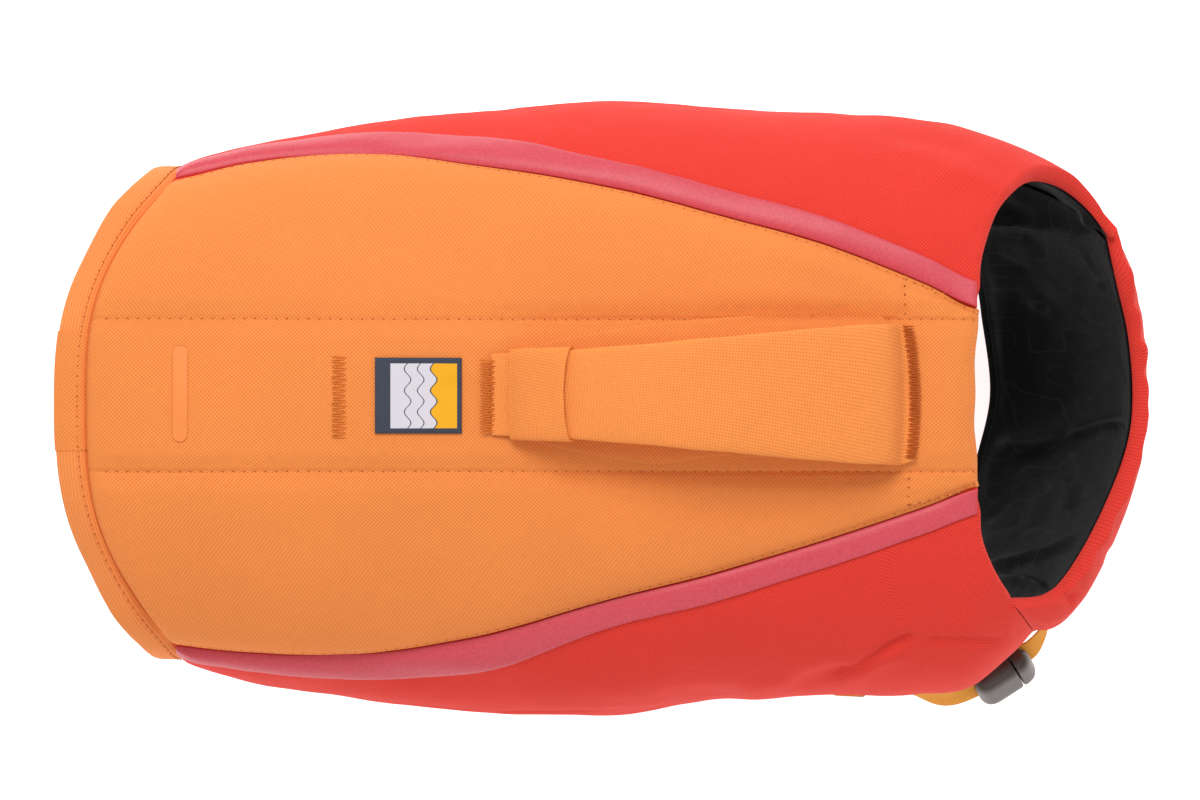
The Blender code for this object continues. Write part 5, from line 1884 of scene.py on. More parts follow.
def laid_sheet(name: str, form: Form, s: Array, v: Array, thick: float, finish: Finish,
               lift: float = SEAM_GAP + 0.05) -> bpy.types.Object:
    """A flat piece that lies on a panel's outer cloth.

    Args:
        name: The object's name.
        form: The panel.
        s: Where its grid lies along the panel.
        v: Where its grid lies across the panel.
        thick: Its thickness in millimetres.
        finish: Its finish.
        lift: The gap under it.

    Returns:
        The object.
    """
    under = form.outer(s, v, lift)
    over = under + form.normal(s, v) * thick
    return Wall(under, over, (0.25, 0.25, 0.25, 0.25), 4).build(name, flat_places(over), [finish])


def sheet_size(points: Array) -> tuple[tuple[float, float], float]:
    """The smallest rectangle a laid grid is cut from, and its flat area.

    Args:
        points: The grid's points, in millimetres.

    Returns:
        Its width and length in metres, and its area in square metres.
    """
    rows = np.linalg.norm(np.diff(points, axis=1), axis=-1).sum(axis=1)
    columns = np.linalg.norm(np.diff(points, axis=0), axis=-1).sum(axis=0)
    along = points[1:, :-1] - points[:-1, :-1]
    across = points[:-1, 1:] - points[:-1, :-1]
    area = np.linalg.norm(np.cross(along, across), axis=-1).sum()
    width, length = rows.max() * MM, columns.max() * MM
    return (width, length), min(float(area) * MM * MM, width * length)


@dataclass(frozen=True)
class Trim:
    """A reflective strip along the seam between the back and one side."""

    panel: SidePanel
    thick: float = 0.9
    start: float = -196.5
    end: float = 172.5
    rows: int = 190
    columns: int = 9
    steps: int = 17

    def build(self) -> None:
        """Make the strip."""
        x = np.linspace(self.start, self.end, self.rows)[:, None]
        t = np.linspace(0.0, 1.0, self.columns)[None, :]
        down = self.panel.point(x, np.linspace(0.0, 1.0, self.steps)[None, :])
        length = np.linalg.norm(np.diff(down, axis=1), axis=-1).sum(axis=1)[:, None]
        width = table_value(TRIM_WIDTHS, "width", x.ravel())[:, None]
        v = (SEAM_GAP + (width - SEAM_GAP) * t) / length
        s = np.broadcast_to(x, v.shape)
        name = f"trim_film_{self.panel.side.word}"
        piece = laid_sheet(name, self.panel, s, v, self.thick, Finish.PINK)
        put(piece, [f"trim_{self.panel.side.word}"])
        flat, area = sheet_size(self.panel.outer(s, v))


@dataclass(frozen=True)
class Label:
    """The woven label on the back, sewn down round its edge."""

    back: BackPanel
    box: tuple[float, float, float, float] = (-102.6, -63.5, -12.9, 20.2)
    thick: float = 1.0
    inset: float = 0.9

    def build(self) -> None:
        """Make the label and the stitches round it."""
        west, east, south, north = self.box
        x, y = np.meshgrid(np.linspace(west, east, 30), np.linspace(south, north, 27), indexing="ij")
        piece = laid_sheet("label_cloth", self.back, *self.back.place(x, y), self.thick, Finish.LABEL)
        put(piece, ["label"])
        flat, area = sheet_size(self.back.outer(*self.back.place(x, y)))
        west, east, south, north = west + self.inset, east - self.inset, south + self.inset, north - self.inset
        corners = [(west, south), (east, south), (east, north), (west, north), (west, south)]
        lines = [self.back.ruled(start, end, 24, self.thick + SEAM_GAP + 0.1)
                 for start, end in zip(corners, corners[1:])]
        edge = run_tree("label_stitches", lines, stitch_tree(), {"Pitch": 1.9 * MM, "Start": 0.0,
                                                                 "Length": 1.5 * MM, "Width": 0.34 * MM,
                                                                 "Finish": Finish.LABEL_THREAD.material})
        put(edge)


@dataclass(frozen=True)
class TailBar:
    """The pale bonded bar across the tail end of the back."""

    back: BackPanel
    box: tuple[float, float, float, float] = (-194.8, -188.6, -16.6, 25.3)
    thick: float = 0.3

    def build(self) -> None:
        """Make the bar, with round ends."""
        west, east, south, north = self.box
        half = (east - west) / 2
        y = crowded(61, south, north, 0.7)
        to_end = np.minimum(y - south, north - y)
        reach = half * np.sqrt(1.0 - (1.0 - np.clip(to_end / half, 0.0, 1.0)) ** 2) + 0.12
        x = (west + east) / 2 + np.linspace(-1.0, 1.0, 9)[None, :] * np.minimum(reach, half)[:, None]
        s, v = self.back.place(x, np.broadcast_to(y[:, None], x.shape))
        piece = laid_sheet("tail_bar", self.back, s, v, self.thick, Finish.ORANGE_FILM)
        put(piece, ["tail_tab"])
        surface = self.back.outer(s, v)


@dataclass(frozen=True)
class TailBand:
    """The rolled binding on the tail edge: plain in the middle and ribbed at both sides."""

    back: BackPanel
    sides: Mapping[Side, SidePanel]
    width: float = 15.5
    thick: float = 8.5
    flare: float = 0.5
    centre_left: float = 32.7
    centre_right: float = -21.2
    fuller: float = 0.55
    rings: int = 330
    ring_points: int = 36

    def edge(self) -> tuple[Array, Array]:
        """The tail edge from the left hem over the back to the right hem: its points and directions out.

        Returns:
            The points and the directions, one a row.
        """
        points, normals = [], []
        down = np.linspace(1.0, 0.06, 8)
        middle = np.linspace(0.985, -0.985, 31)
        runs = ((self.sides[Side.LEFT], down), (self.back, middle), (self.sides[Side.RIGHT], down[::-1]))
        for form, v in runs:
            s = self.back.tail_edge(v) if form is self.back else form.tail_corner + form.tail_shift * v
            out = form.normal(s, v)
            points.append(form.point(s, v) + out * (form.thickness(s, v) / 2)[:, None])
            normals.append(out)
        points, normals = np.concatenate(points), np.concatenate(normals)
        for _ in range(3):
            points[1:-1] = (points[:-2] + points[1:-1] * 2 + points[2:]) / 4
            normals[1:-1] = unit(normals[:-2] + normals[1:-1] * 2 + normals[2:])
        return points, normals

    def frames(self) -> tuple[Array, Array, Array]:
        """The binding's centre line with its directions away from the panel and up.

        Returns:
            The centres and both directions, one a row.
        """
        points, normals = self.edge()
        along = unit(np.gradient(points, axis=0))
        away = unit(np.cross(along, normals))
        away = np.where(away[:, :1] > 0, -away, away)
        out = unit(np.cross(away, along))
        out = np.where(np.einsum("ij,ij->i", out, normals)[:, None] < 0, -out, out)
        flare = (smoothstep((0.93 - out[:, 2]) / 0.25) * smoothstep((out[:, 2] + 0.3) / 0.5))[:, None]
        droop = unit(away + out * (self.flare * flare - 0.22))
        centres = points + droop * (self.width / 2 + 0.35 + 0.35 * flare)
        upward = unit(out + away * 0.22)
        return (refined(centres, self.rings), unit(refined(droop, self.rings, centres)),
                unit(refined(upward, self.rings, centres)))

    def build(self) -> None:
        """Make the three lengths of binding and the row of stitches along them."""
        centres, droop, upward = self.frames()
        lengths = (("left", self.centre_left, 999.0, 0.0, Finish.BINDING, Slot.BINDING),
                   ("centre", self.centre_right, self.centre_left, self.fuller, Finish.ORANGE, Slot.ORANGE),
                   ("right", -999.0, self.centre_right, 0.0, Finish.BINDING, Slot.BINDING))
        places = chords(centres)
        for word, low, high, extra, finish, slot in lengths:
            # The lengths meet end to end, the plain one a little fuller than the two beside it.
            ends = [float(np.interp(-limit, -centres[:, 1], places)) for limit in (high, low)]
            at = np.linspace(ends[0] + 0.02, ends[1] - 0.02, max(40, int((ends[1] - ends[0]) / 1.2)))
            middle, away, up = (np.stack([np.interp(at, places, line[:, axis]) for axis in range(3)], axis=1)
                                for line in (centres, droop, upward))
            swell = 1.0 + 0.05 * ripples(middle, 14.0, 8)
            rings = section_rings(middle, away, up, np.full(len(middle), self.width / 2 + extra),
                                  (self.thick / 2 + extra * 0.6) * swell, self.ring_points, 2.5)
            piece = build_tube(f"binding_{word}", rings, finish, dome=0.04)
            put(piece, [f"tail_band_{word}"])
        row = centres - droop * (self.width * 0.3) + upward * (self.thick / 2 * 0.97)
        Sewing(pitch=4.6).row("binding_stitches", [row[6:-6]], Slot.BINDING, Finish.ORANGE_THREAD,
                              Finish.ORANGE_HOLE)


@dataclass(frozen=True)
class Handle:
    """The arched padded handle with the sleeve at its tail end and the flat layer under it."""

    back: BackPanel
    middle: float = 4.4
    start: float = -49.6
    base_thick: float = 1.2
    cuff_start: float = -40.2
    cuff_end: float = -13.0
    cuff_wall: float = 1.1
    power: float = 4.0
    rings: int = 160
    ring_points: int = 72
    bend_start: float = 128.0
    cuff_bow: float = 1.9
    foot_tack: float = -51.6

    @cached_property
    def profile(self) -> tuple[Array, Array, Array]:
        """Places along the handle with its middle's height there and how that height climbs.

        Returns:
            The places, the heights and the slopes.
        """
        x = np.linspace(HANDLE_RISES[0].x, HANDLE_RISES[-1].x, self.rings)
        rise, thick, half = (table_value(HANDLE_RISES, name, x) for name in ("rise", "thick", "half"))
        ground = np.max([self.back.outer(*self.back.place(x, self.middle + half * t))[:, 2]
                         for t in (-0.9, -0.6, -0.3, 0.0, 0.3, 0.6, 0.9)], axis=0)
        on_base = (x >= BASE_WIDTHS[0].x) & (x <= BASE_WIDTHS[-1].x)
        base = np.where(on_base, self.base_thick + SEAM_GAP, 0.0)
        high = ground + np.maximum(rise, SEAM_GAP) + base + thick / 2
        for _ in range(4):
            high[1:-1] = (high[:-2] + high[1:-1] * 2 + high[2:]) / 4
        return x, high, np.gradient(high, x)

    def frames(self, x: Array) -> tuple[Array, Array, Array, Array]:
        """The handle's centres, up directions, thickness and half width at places along it.

        Args:
            x: Places along the handle.

        Returns:
            The centres, the directions, the thickness and the half width.
        """
        thick, half = (table_value(HANDLE_RISES, name, x) for name in ("thick", "half"))
        places, high, climb = self.profile
        centres = np.stack((x, np.full_like(x, self.middle), np.interp(x, places, high)), axis=1)
        upward = unit(np.stack((-np.interp(x, places, climb), np.zeros_like(x), np.ones_like(x)), axis=1))
        return centres, upward, thick, half

    def tack_at(self, share: Array) -> Array:
        """Where the bowed bar tack at the handle's neck end lies, at shares of the way out to its sides."""
        return 144.3 - 0.6 * share - 2.9 * share ** 2

    def bent(self, rings: Array, x: Array, half: Array) -> Array:
        """The handle's rings with its neck end bowed to follow the bar tack.

        Args:
            rings: The handle's rings.
            x: The place of each ring.
            half: The half width of each ring.

        Returns:
            The moved rings.
        """
        share = (rings[..., 1] - self.middle) / half[:, None]
        weight = smoothstep((x - self.bend_start) / (HANDLE_RISES[-1].x - self.bend_start))[:, None]
        moved = rings.copy()
        moved[..., 0] += weight * (self.tack_at(share) + 2.2 - HANDLE_RISES[-1].x)
        return moved

    def top_line(self, x: Array, share: Array, lift: float) -> Array:
        """A line on top of the handle, a share of the way out to its side.

        Args:
            x: Places along the handle.
            share: Shares of the way out to its side.
            lift: How far the line lies above it.

        Returns:
            The line's points.
        """
        centres, upward, thick, half = self.frames(x)
        high = (1.0 - np.abs(share) ** self.power) ** (1.0 / self.power)
        side = np.array((0.0, 1.0, 0.0))
        return centres + side * (half * share)[:, None] + upward * (thick / 2 * high + lift)[:, None]

    def build(self) -> None:
        """Make the handle, its sleeve and the layer under it."""
        x = np.linspace(self.start, HANDLE_RISES[-1].x, self.rings)
        centres, upward, thick, half = self.frames(x)
        sideways = np.broadcast_to((0.0, 1.0, 0.0), centres.shape)
        wobble = 1.0 + 0.014 * ripples(centres, 22.0, 4)
        rings = section_rings(centres, sideways, upward, half * wobble, thick / 2, self.ring_points, self.power)
        rings = self.bent(rings, x, half)
        above = np.maximum(rings[..., 2] - centres[:, 2:], 0.0) / (thick[:, None] / 2)
        rings[..., 2] += (ripples(rings, 30.0, 11) * 0.5 + ripples(rings, 11.0, 12) * 0.2) * above
        piece = build_tube("handle_pad", rings, Finish.HANDLE, dome=0.1)
        put(piece, ["handle"])
        self.build_cuff()
        self.build_base()

    def build_cuff(self) -> None:
        """Make the sleeve round the handle's tail end."""
        x = np.linspace(self.cuff_start, self.cuff_end, 40)
        centres, upward, thick, half = self.frames(x)
        sideways = np.broadcast_to((0.0, 1.0, 0.0), centres.shape)
        grids = [section_rings(centres, sideways, upward, half * 1.014 + extra, thick / 2 + extra + 0.3,
                               self.ring_points, self.power) for extra in (SEAM_GAP, SEAM_GAP + self.cuff_wall)]
        weight = smoothstep((x - self.cuff_end + 9.0) / 9.0)[:, None]
        for grid in grids:
            grid[..., 0] -= self.cuff_bow * weight * (1.0 - ((grid[..., 1] - self.middle) / half[:, None]) ** 2)
        inner, outer = (np.concatenate((grid, grid[:, :1]), axis=1) for grid in grids)
        piece = open_sleeve("cuff_sleeve", inner, outer, Finish.HANDLE)
        put(piece, ["handle_cuff"])

    def build_base(self) -> None:
        """Make the flat layer under the handle."""
        x = np.linspace(BASE_WIDTHS[0].x, BASE_WIDTHS[-1].x, 90)[:, None]
        half = table_value(BASE_WIDTHS, "width", x.ravel())[:, None]
        # The lower side is drawn in under the handle, and both corners at the neck end are round.
        share = np.linspace(-1.0, 1.0, 41)[None, :]
        corner = 5.0 * (1.0 - np.sqrt(np.clip(1.0 - ((x - 122.0) / 10.0).clip(0.0, 1.0) ** 2, 0.0, 1.0)))
        tuck = 6.5 * smoothstep((x - 20.0) / 40.0)
        y = self.middle + share * (half - corner - np.where(share < 0, tuck, 0.0))
        s, v = self.back.place(np.broadcast_to(x, y.shape), y)
        piece = laid_sheet("handle_base_cloth", self.back, s, v, self.base_thick, Finish.ORANGE)
        put(piece, ["handle_base"])
        flat, area = sheet_size(self.back.outer(s, v))

    def tacks(self) -> None:
        """Sew the bar tacks on the back and at the handle's two feet."""
        t = np.linspace(0.0, 1.0, 60)
        tail = self.back.ruled((-119.2, 20.6), (-119.2, -15.0), len(t), 0.2)
        BarTack("bar_tack_tail", 7.2).sew(tail, Finish.PALE_TACK)
        foot = self.top_line(np.full_like(t, self.foot_tack), 0.83 - 1.76 * t, 0.2)
        BarTack("bar_tack_handle_tail", 7.5, thread=0.8).sew(foot, Finish.PALE_TACK)
        share = 0.98 - 1.9 * t
        neck = self.top_line(self.tack_at(share), share, 0.25)
        BarTack("bar_tack_handle_neck", 6.2, thread=0.85).sew(neck, Finish.DARK_TACK)


def open_sleeve(name: str, inner: Array, outer: Array, finish: Finish) -> bpy.types.Object:
    """A closed wall round a tube that is open at both ends.

    Args:
        name: The object's name.
        inner: Rings of points inside, each with its first point repeated at its end.
        outer: Rings of points outside, in the same way.
        finish: Its finish.

    Returns:
        The object.
    """
    count, sides = inner.shape[0], inner.shape[1] - 1
    uv = flat_places(outer)
    loops = [inner[i, :-1] for i in range(count)] + [outer[i, :-1] for i in range(count - 1, -1, -1)]
    flats = [uv[i] for i in range(count)] + [uv[i] for i in range(count - 1, -1, -1)]
    faces, uvs = [], []
    for i in range(len(loops)):
        following = (i + 1) % len(loops)
        for j in range(sides):
            after = (j + 1) % sides
            faces.append((i * sides + j, i * sides + after, following * sides + after, following * sides + j))
            uvs += [flats[i][j], flats[i][j + 1], flats[following][j + 1], flats[following][j]]
    return make_object(name, np.concatenate(loops), faces, np.array(uvs), [finish])


@dataclass(frozen=True)
class Lining:
    """The black lining inside a panel, as far as it shows through the neck, with soft wrinkles."""

    name: str
    node: str
    form: Form
    s: Array
    v: Array
    rests_on: str
    thick: float = 1.0
    fade: float = 6.0

    def build(self) -> None:
        """Make the lining."""
        point, normal = self.form.point(self.s, self.v), self.form.normal(self.s, self.v)
        plan = plan_of(point)
        wrinkle = np.abs(ripples(point, 26.0, 6)) * 1.5 + np.abs(ripples(point, 10.0, 7)) * 0.5
        for crease in LINING_CREASES:
            wrinkle = wrinkle + crease.raised(plan)
        edge = np.minimum(np.minimum(np.arange(len(self.s)), np.arange(len(self.s))[::-1])[:, None],
                          np.minimum(np.arange(self.s.shape[1]), np.arange(self.s.shape[1])[::-1])[None, :])
        wrinkle = np.maximum(wrinkle, 0.0) * smoothstep(edge / self.fade)
        outer = point - normal * (SEAM_GAP + 0.2)
        inner = outer - normal * (self.thick + wrinkle)[..., None]
        wall = Wall(inner, outer, (0.3, 0.3, 0.3, 0.3), 4)
        piece = wall.build(self.name, flat_places(inner), [Finish.LINING])
        put(piece, [self.node])


def build_linings(sides: Mapping[Side, SidePanel], bib: Bib) -> None:
    """Make the linings of the bib and of both shoulders.

    Args:
        sides: Both side panels.
        bib: The bib.
    """
    s, v = bib.grid(0.06)
    Lining("bib_lining", "chest_lining", bib, s, v, "bib_cloth").build()
    for side, panel in sides.items():
        v_line = np.linspace(0.02, 0.98, 90)
        front = panel.front("x", v_line)
        tail = panel.tail_corner + panel.tail_shift * v_line
        first = tail + (front - tail) * (28.0 / 30.0)
        last = tail + (front - tail) * (29.8 / 30.0)
        u = np.linspace(0.0, 1.0, 26)[:, None]
        x = first + (last - first) * u
        name = f"shoulder_lining_{side.word}"
        Lining(name, f"neck_lining_{side.word}", panel, x, np.broadcast_to(v_line, x.shape),
               f"side_cloth_{side.word}").build()


LINING_CREASES = (
    Crease(((174.0, 87.5), (190.0, 88.5), (204.0, 87.5), (228.0, 83.5), (238.0, 79.5)), 7.5, 3.8, fade=0.12),
    Crease(((186.0, 99.0), (204.0, 95.0), (222.0, 90.0)), 2.6, 3.0, fade=0.25),
    Crease(((212.0, 56.0), (226.0, 54.0), (241.0, 48.0)), 1.0, 3.2, fade=0.35),
    Crease(((206.0, 41.0), (224.0, 37.5), (244.0, 38.5)), 0.9, 3.4, fade=0.35),
    Crease(((214.0, 26.0), (231.0, 28.0), (246.0, 30.5)), 0.8, 3.0, fade=0.35),
    Crease(((216.0, -16.0), (232.0, -11.0), (247.0, -6.0)), 4.4, 2.6, fade=0.2),
    Crease(((180.0, -19.0), (200.0, -21.0), (222.0, -15.0)), 3.6, 4.0, fade=0.25),
    Crease(((222.0, 77.0), (228.0, 66.0), (235.0, 52.0)), 3.0, 2.6, fade=0.25),
    Crease(((185.0, 70.0), (186.0, 40.0), (184.0, 6.0)), 1.6, 6.0, fade=0.3),
    Crease(((176.0, -77.0), (198.0, -72.5), (223.0, -63.0)), 3.6, 2.0, fade=0.2),
    Crease(((182.0, -82.0), (196.0, -84.0), (208.0, -87.0)), 3.2, 2.0, fade=0.2),
    Crease(((212.0, -30.0), (216.0, -44.0), (214.0, -60.0)), 2.4, 5.0, fade=0.3),
)


# -----------------------------------------------------------------------------
# Webbing and buckles


@dataclass(frozen=True)
class Strap:
    """A length of flat webbing along a line, with rounded selvedges."""

    name: str
    node: str
    width: float
    path: Array
    across: Array
    rests_on: str
    sewn_first: bool = True
    eased: tuple[float, float] = (0.0, 0.0)
    thick: float = 1.5
    spacing: float = 1.4
    fade: float = 6.0
    passes: int = 60

    def tack(self, centres: Array, across: Array, out: Array) -> None:
        """Sew a bar tack across the end that lies on the jacket.

        Args:
            centres: The strap's centres.
            across: The directions across it.
            out: The directions out of it.
        """
        step = 4 if self.sewn_first else -5
        spot, side, up = centres[step], across[step], out[step]
        if up @ (spot - wearer_middle(spot)) < 0.0:
            up = -up
        share = np.linspace(-1.0, 1.0, 30)[:, None]
        line = spot + side * share * (self.width / 2 - 1.6) + up * (self.thick / 2 + 0.15)
        along = tuple(float(part) for part in unit(centres[step] - centres[step - 1]))
        BarTack(self.name + "_tack", 4.2, across=along).sew(line, Finish.AMBER_THREAD)

    def build(self) -> None:
        """Make the strap and the bar tack at its end."""
        count = max(60, int(chords(self.path)[-1] / self.spacing))
        centres = refined(self.path, count)
        across = unit(refined(self.across, count, self.path))
        places = chords(centres)
        low, high = self.eased
        share = smoothstep((places - low) / self.fade) * smoothstep((high - places) / self.fade)
        share = share[1:-1, None] * 0.5
        for _ in range(self.passes if high > low else 0):
            for line in (centres, across):
                line[1:-1] += ((line[:-2] + line[2:]) / 2 - line[1:-1]) * share
        along = unit(np.gradient(centres, axis=0))
        across = unit(across - along * np.einsum("ij,ij->i", across, along)[:, None])
        out = np.cross(along, across)
        half_width, half_thick = np.full(count, self.width / 2), np.full(count, self.thick / 2)
        rings = section_rings(centres, across, out, half_width, half_thick, 20, 5.0)
        piece = build_tube(self.name, rings, Finish.WEBBING, dome=0.2)
        put(piece, [self.node])
        self.tack(centres, across, out)


def loop_path(corner: float, thick: float = 1.5, tail: float = 17.0) -> Array:
    """Webbing round a bar, in the bar's frame: it comes in on the outside and ends on the inside.

    Args:
        corner: How far the bar's corners lie from its middle.
        thick: The webbing's thickness.
        tail: How far out its inner end reaches.

    Returns:
        The points, as the place along and the height.
    """
    radius = corner + SEAM_GAP + 0.15 + thick / 2
    close = thick / 2 + 0.2
    path = [(24.0, close), (14.0, close), (6.0, radius * 0.8), (1.5, radius)]
    for turn in np.radians(np.linspace(90.0, 270.0, 7)):
        path.append((radius * math.cos(turn), radius * math.sin(turn)))
    path += [(1.5, -radius), (6.0, -radius * 0.8), (tail, -close)]
    return np.array(path)


@dataclass(frozen=True)
class BellyStraps:
    """The two straps under the belly, each in two halves that meet at a buckle."""

    sides: Mapping[Side, SidePanel]
    width: float = 25.0
    bar: float = 26.0
    corner: float = 2.69
    spare: float = 4.5
    turn_in: float = math.radians(160.0)
    front: float = 96.0
    rear: float = -74.0

    def half(self, word: str, x: float, side: Side) -> Strap:
        """One half of a strap: down the side panel, under the belly and round its buckle's bar.

        Args:
            word: Which strap it is.
            x: Where it lies along the body.
            side: Its side.

        Returns:
            The strap.
        """
        panel = self.sides[side]
        seam, hem = (float(angle[0]) for angle in FIGURE.side_angles(side, np.array([x])))
        v = np.linspace(0.84, 1.03, 5)
        x_line = np.full_like(v, x)
        edges = [panel.outer(x_line + step, v) for step in (-12.0, 0.0, 12.0)]
        out = panel.normal(x_line, v)
        high = np.max([np.einsum("ij,ij->i", edge - edges[1], out) for edge in edges], axis=0)
        points = [edges[1] + out * (high + SEAM_GAP + 0.9)[:, None]]
        angle = np.linspace(hem + 0.16, self.turn_in, 8)
        place = (angle - seam) / (hem - seam)
        share = 1.0 - smoothstep((angle - hem) / (self.turn_in - hem))
        off = 4.0 + (panel.thickness(np.array([x]), np.array([1.0]))[0] + 2.6 - 4.0) * share
        x_line = np.full_like(place, x)
        points.append(panel.point(x_line, place) + panel.normal(x_line, place) * off[:, None])
        bottom = float((FIGURE.size("top", x) - FIGURE.size("depth", x))[0]) - FIGURE.belly - self.spare
        loop = loop_path(self.corner)
        down = side.value * (self.bar + loop[:, 0])
        points.append(np.stack((np.full(len(loop), x), down, bottom - loop[:, 1]), axis=1))
        path = np.concatenate(points)
        across = np.broadcast_to((1.0, 0.0, 0.0), path.shape)
        return Strap(f"belly_webbing_{word}_{side.word}", f"belly_strap_{word}_{side.word}", self.width, path,
                     across, f"side_cloth_{side.word}")

    def build(self) -> None:
        """Make all four halves, and give the buckles their finish."""
        for word, x in (("front", self.front), ("rear", self.rear)):
            for side in Side:
                self.half(word, x, side).build()
            for kind in ("socket", "plug"):
                give_finish(f"belly_{kind}_{word}", Finish.ACETAL)


def give_finish(node: str, finish: Finish) -> None:
    """Give a CAD node that stays in view a better material.

    Args:
        node: The node's name.
        finish: Its finish.
    """
    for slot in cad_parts[node].material_slots:
        slot.material = finish.material
    LOG.info("%s: finish %s", node, finish.value.name)


@dataclass(frozen=True)
class NeckBuckle:
    """The smooth rounded buckle beside the right shoulder, with the webbing that goes to it from both sides."""

    right: SidePanel
    bib: Bib
    centre: tuple[float, float, float] = (193.5, -130.0, -134.5)
    along: tuple[float, float, float] = (0.84, 0.54, 0.0)
    tilt: float = 28.0
    bar: float = -2.5
    bar_depth: float = -3.6
    pocket_depth: float = -3.25
    corner: float = math.hypot(1.8, 1.2)
    half_length: float = 15.5
    split: float = 6.0
    width: float = 20.0
    voxel: float = 0.55
    passes: int = 36
    free: tuple[tuple[float, float, float], ...] = ((211.5, -112.8, -135.8), (214.5, -105.9, -135.4),
                                                    (217.2, -98.7, -134.9), (220.2, -91.7, -134.4))

    def directions(self) -> tuple[Array, Array, Array]:
        """The buckle's directions along, across and out.

        Returns:
            Three directions of length 1.
        """
        along = unit(np.array(self.along))
        tilt = math.radians(self.tilt)
        out = np.array((along[1], -along[0], 0.0)) * math.cos(tilt) + UP * math.sin(tilt)
        across = np.cross(out, along)
        return along, across if across[2] > 0 else -across, out

    def smooth(self, node: str, name: str) -> None:
        """Make a moulded, softly rounded shape from a CAD node's own shape.

        Args:
            node: The node's name.
            name: The piece's name.
        """
        made = linked(name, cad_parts[node].data.copy())
        weld = made.modifiers.new("weld", "WELD")
        weld.merge_threshold = 0.00002
        remesh = made.modifiers.new("remesh", "REMESH")
        remesh.mode = "VOXEL"
        remesh.voxel_size = self.voxel * MM
        ease = made.modifiers.new("ease", "SMOOTH")
        ease.factor = 0.5
        ease.iterations = self.passes
        result = plain_mesh(made)
        made.modifiers.clear()
        made.data = result
        result.shade_smooth()
        result.materials.clear()
        result.materials.append(Finish.ACETAL.material)
        put(made, [node])

    def side_strap(self) -> Strap:
        """The length from the side panel round the socket's bar.

        Returns:
            The strap.
        """
        along, across, out = self.directions()
        bar = np.array(self.centre) + along * self.bar + out * self.bar_depth
        loop = loop_path(self.corner, tail=13.0)
        loop = bar - along * loop[:, :1] + out * loop[:, 1:]
        s = np.array((116.0, 124.0, 132.0, 140.0, 147.0))
        v = np.array((0.74, 0.765, 0.79, 0.815, 0.84))
        lying = self.on_panel(self.right, s, v)
        path = np.concatenate((lying, (lying[-1:] + loop[:1]) / 2, loop))
        share = smoothstep((np.arange(len(path)) - 3.0) / 3.0)[:, None]
        turned = unit(UP * (1.0 - share) + across * share)
        return Strap("neck_webbing_side", "neck_strap_side", self.width, path, turned, "side_cloth_right",
                     eased=(22.0, 80.0))

    def on_panel(self, form: Form, s: Array, v: Array) -> Array:
        """A strap's centre line where it lies on a panel, clear of it over its whole width.

        Args:
            form: The panel.
            s: Places along the panel.
            v: Places across the panel.

        Returns:
            The centres.
        """
        base, out = form.outer(s, v), form.normal(s, v)
        high = np.zeros(len(base))
        for shift in (-0.07, 0.07):
            high = np.maximum(high, np.einsum("ij,ij->i", form.outer(s, v + shift) - base, out))
        return base + out * (np.minimum(high, 2.0) + SEAM_GAP + 0.8)[:, None]

    def bib_strap(self) -> Strap:
        """The length from the plug round onto the bib.

        Returns:
            The strap.
        """
        along, across, out = self.directions()
        pocket = np.array(self.centre) + out * self.pocket_depth
        inside = pocket + along * (self.split + 5.0)
        leaving = pocket + along * (self.half_length + 2.0)
        s, v = np.array((5.86, 5.76, 5.66, 5.56)), np.array((0.642, 0.606, 0.572, 0.541))
        lying = self.on_panel(self.bib, s, v)
        path = np.concatenate((np.stack((inside, leaving)), np.array(self.free), lying))
        flat = np.cross(self.bib.normal(s, v), np.gradient(lying, axis=0))
        flat = unit(np.where(flat[:, 2:] < 0, -flat, flat))
        share = np.clip((np.arange(len(path)) - 1.5) / 4.5, 0.0, 1.0)[:, None]
        turned = across * (1.0 - share) + flat[:1] * share
        turned[-len(s):] = flat
        return Strap("neck_webbing_bib", "neck_strap_chest", self.width, path, turned, "bib_cloth",
                     sewn_first=False, eased=(7.0, 44.0))

    def build(self) -> None:
        """Make the buckle and both lengths of webbing."""
        self.smooth("neck_buckle_socket", "neck_socket")
        self.smooth("neck_buckle_plug", "neck_plug")
        self.side_strap().build()
        self.bib_strap().build()


# -----------------------------------------------------------------------------
# Studio


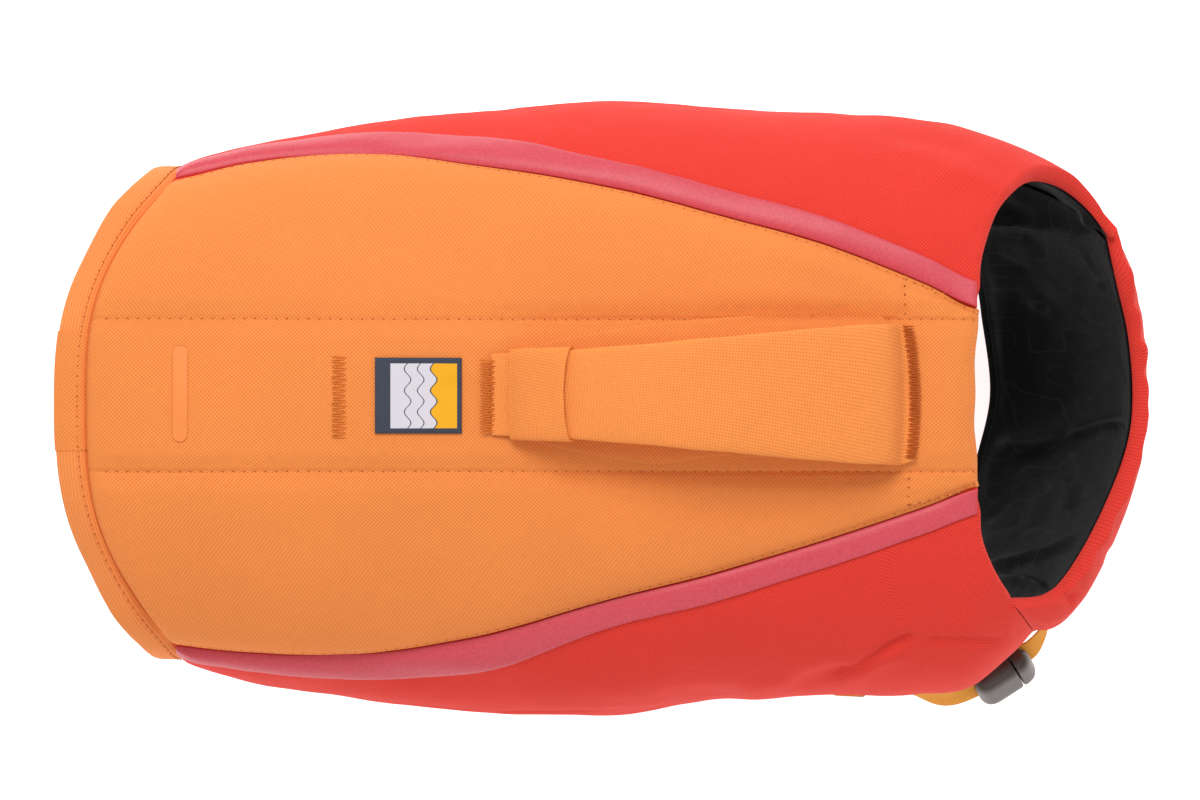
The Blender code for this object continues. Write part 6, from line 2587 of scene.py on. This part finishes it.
@dataclass(frozen=True)
class Studio:
    """A pale floor, soft light from above and behind, and the camera straight above."""

    floor_drop: float = 1.2
    floor_size: float = 9.0
    floor_colours: tuple[str, str] = ("#F1F1F1", "#F4F4F4")
    floor_glow: float = 0.75
    lens: float = 195.65
    sky: float = 0.66
    aim: float = -0.05

    def build(self) -> None:
        """Make the floor, the lights and the camera."""
        self.build_floor()
        self.build_lights()
        self.build_camera()

    def build_floor(self) -> None:
        """Make the floor just under the jacket."""
        made, tree = empty_material("studio_floor")
        dark, pale = map(linear, self.floor_colours)
        colour = add_node(tree, "ShaderNodeMix", MIX, {0: blotches(tree, 400.0, 0.0, 1.0), 6: dark, 7: pale})
        finish_tree(tree, {"Base Color": colour, "Roughness": 0.9, "Emission Color": (1.0, 1.0, 1.0, 1.0),
                           "Emission Strength": self.floor_glow})
        low = float(min(corner[2] for corner in CAD_BOX)) - self.floor_drop * MM
        half = self.floor_size / 2
        mesh = bpy.data.meshes.new("floor")
        mesh.from_pydata([(-half, -half, low), (half, -half, low), (half, half, low), (-half, half, low)], [],
                         [(0, 1, 2, 3)])
        mesh.materials.append(made)
        floor = linked("floor", mesh)

    def build_lights(self) -> None:
        """Make the sky and the two soft boxes."""
        scene = bpy.context.scene
        world = bpy.data.worlds.new("studio")
        world.use_nodes = True
        background = world.node_tree.nodes["Background"]
        background.inputs["Color"].default_value = (1.0, 1.0, 1.0, 1.0)
        background.inputs["Strength"].default_value = self.sky
        scene.world = world
        scene.view_settings.view_transform = "Standard"
        for name, place, size, power in (("soft_box", (-0.3, 1.5, 2.2), 1.1, 43.0),
                                         ("fill_box", (0.6, -1.8, 1.6), 2.0, 7.0)):
            lamp = bpy.data.lights.new(name, "AREA")
            lamp.size = size
            lamp.energy = power
            made = linked(name, lamp)
            made.location = place
            towards = Vector((0.0, 0.0, self.aim)) - Vector(place)
            made.rotation_euler = towards.to_track_quat("-Z", "Y").to_euler()

    def build_camera(self) -> None:
        """Make the camera straight above the jacket."""
        lens = bpy.data.cameras.new("camera")
        lens.lens = self.lens
        lens.sensor_width = 36.0
        lens.clip_end = 50.0
        made = linked("camera", lens)
        made.location = (0.0, CAMERA_ACROSS * MM, CAMERA_HEIGHT * MM)
        bpy.context.scene.camera = made


def main() -> None:
    """Build the studio and the jacket, piece by piece."""
    logging.basicConfig(level=logging.INFO, format="%(name)s %(message)s")
    Studio().build()
    back = BackPanel()
    sides = {side: SidePanel(side) for side in Side}
    bib = Bib(sides[Side.LEFT], sides[Side.RIGHT])
    back.build()
    for panel in sides.values():
        panel.build()
        Trim(panel).build()
    bib.build()
    build_linings(sides, bib)
    TailBand(back, sides).build()
    Label(back).build()
    TailBar(back).build()
    handle = Handle(back)
    handle.build()
    handle.tacks()
    BellyStraps(sides).build()
    NeckBuckle(sides[Side.RIGHT], bib).build()


if __name__ == "__main__":
    main()
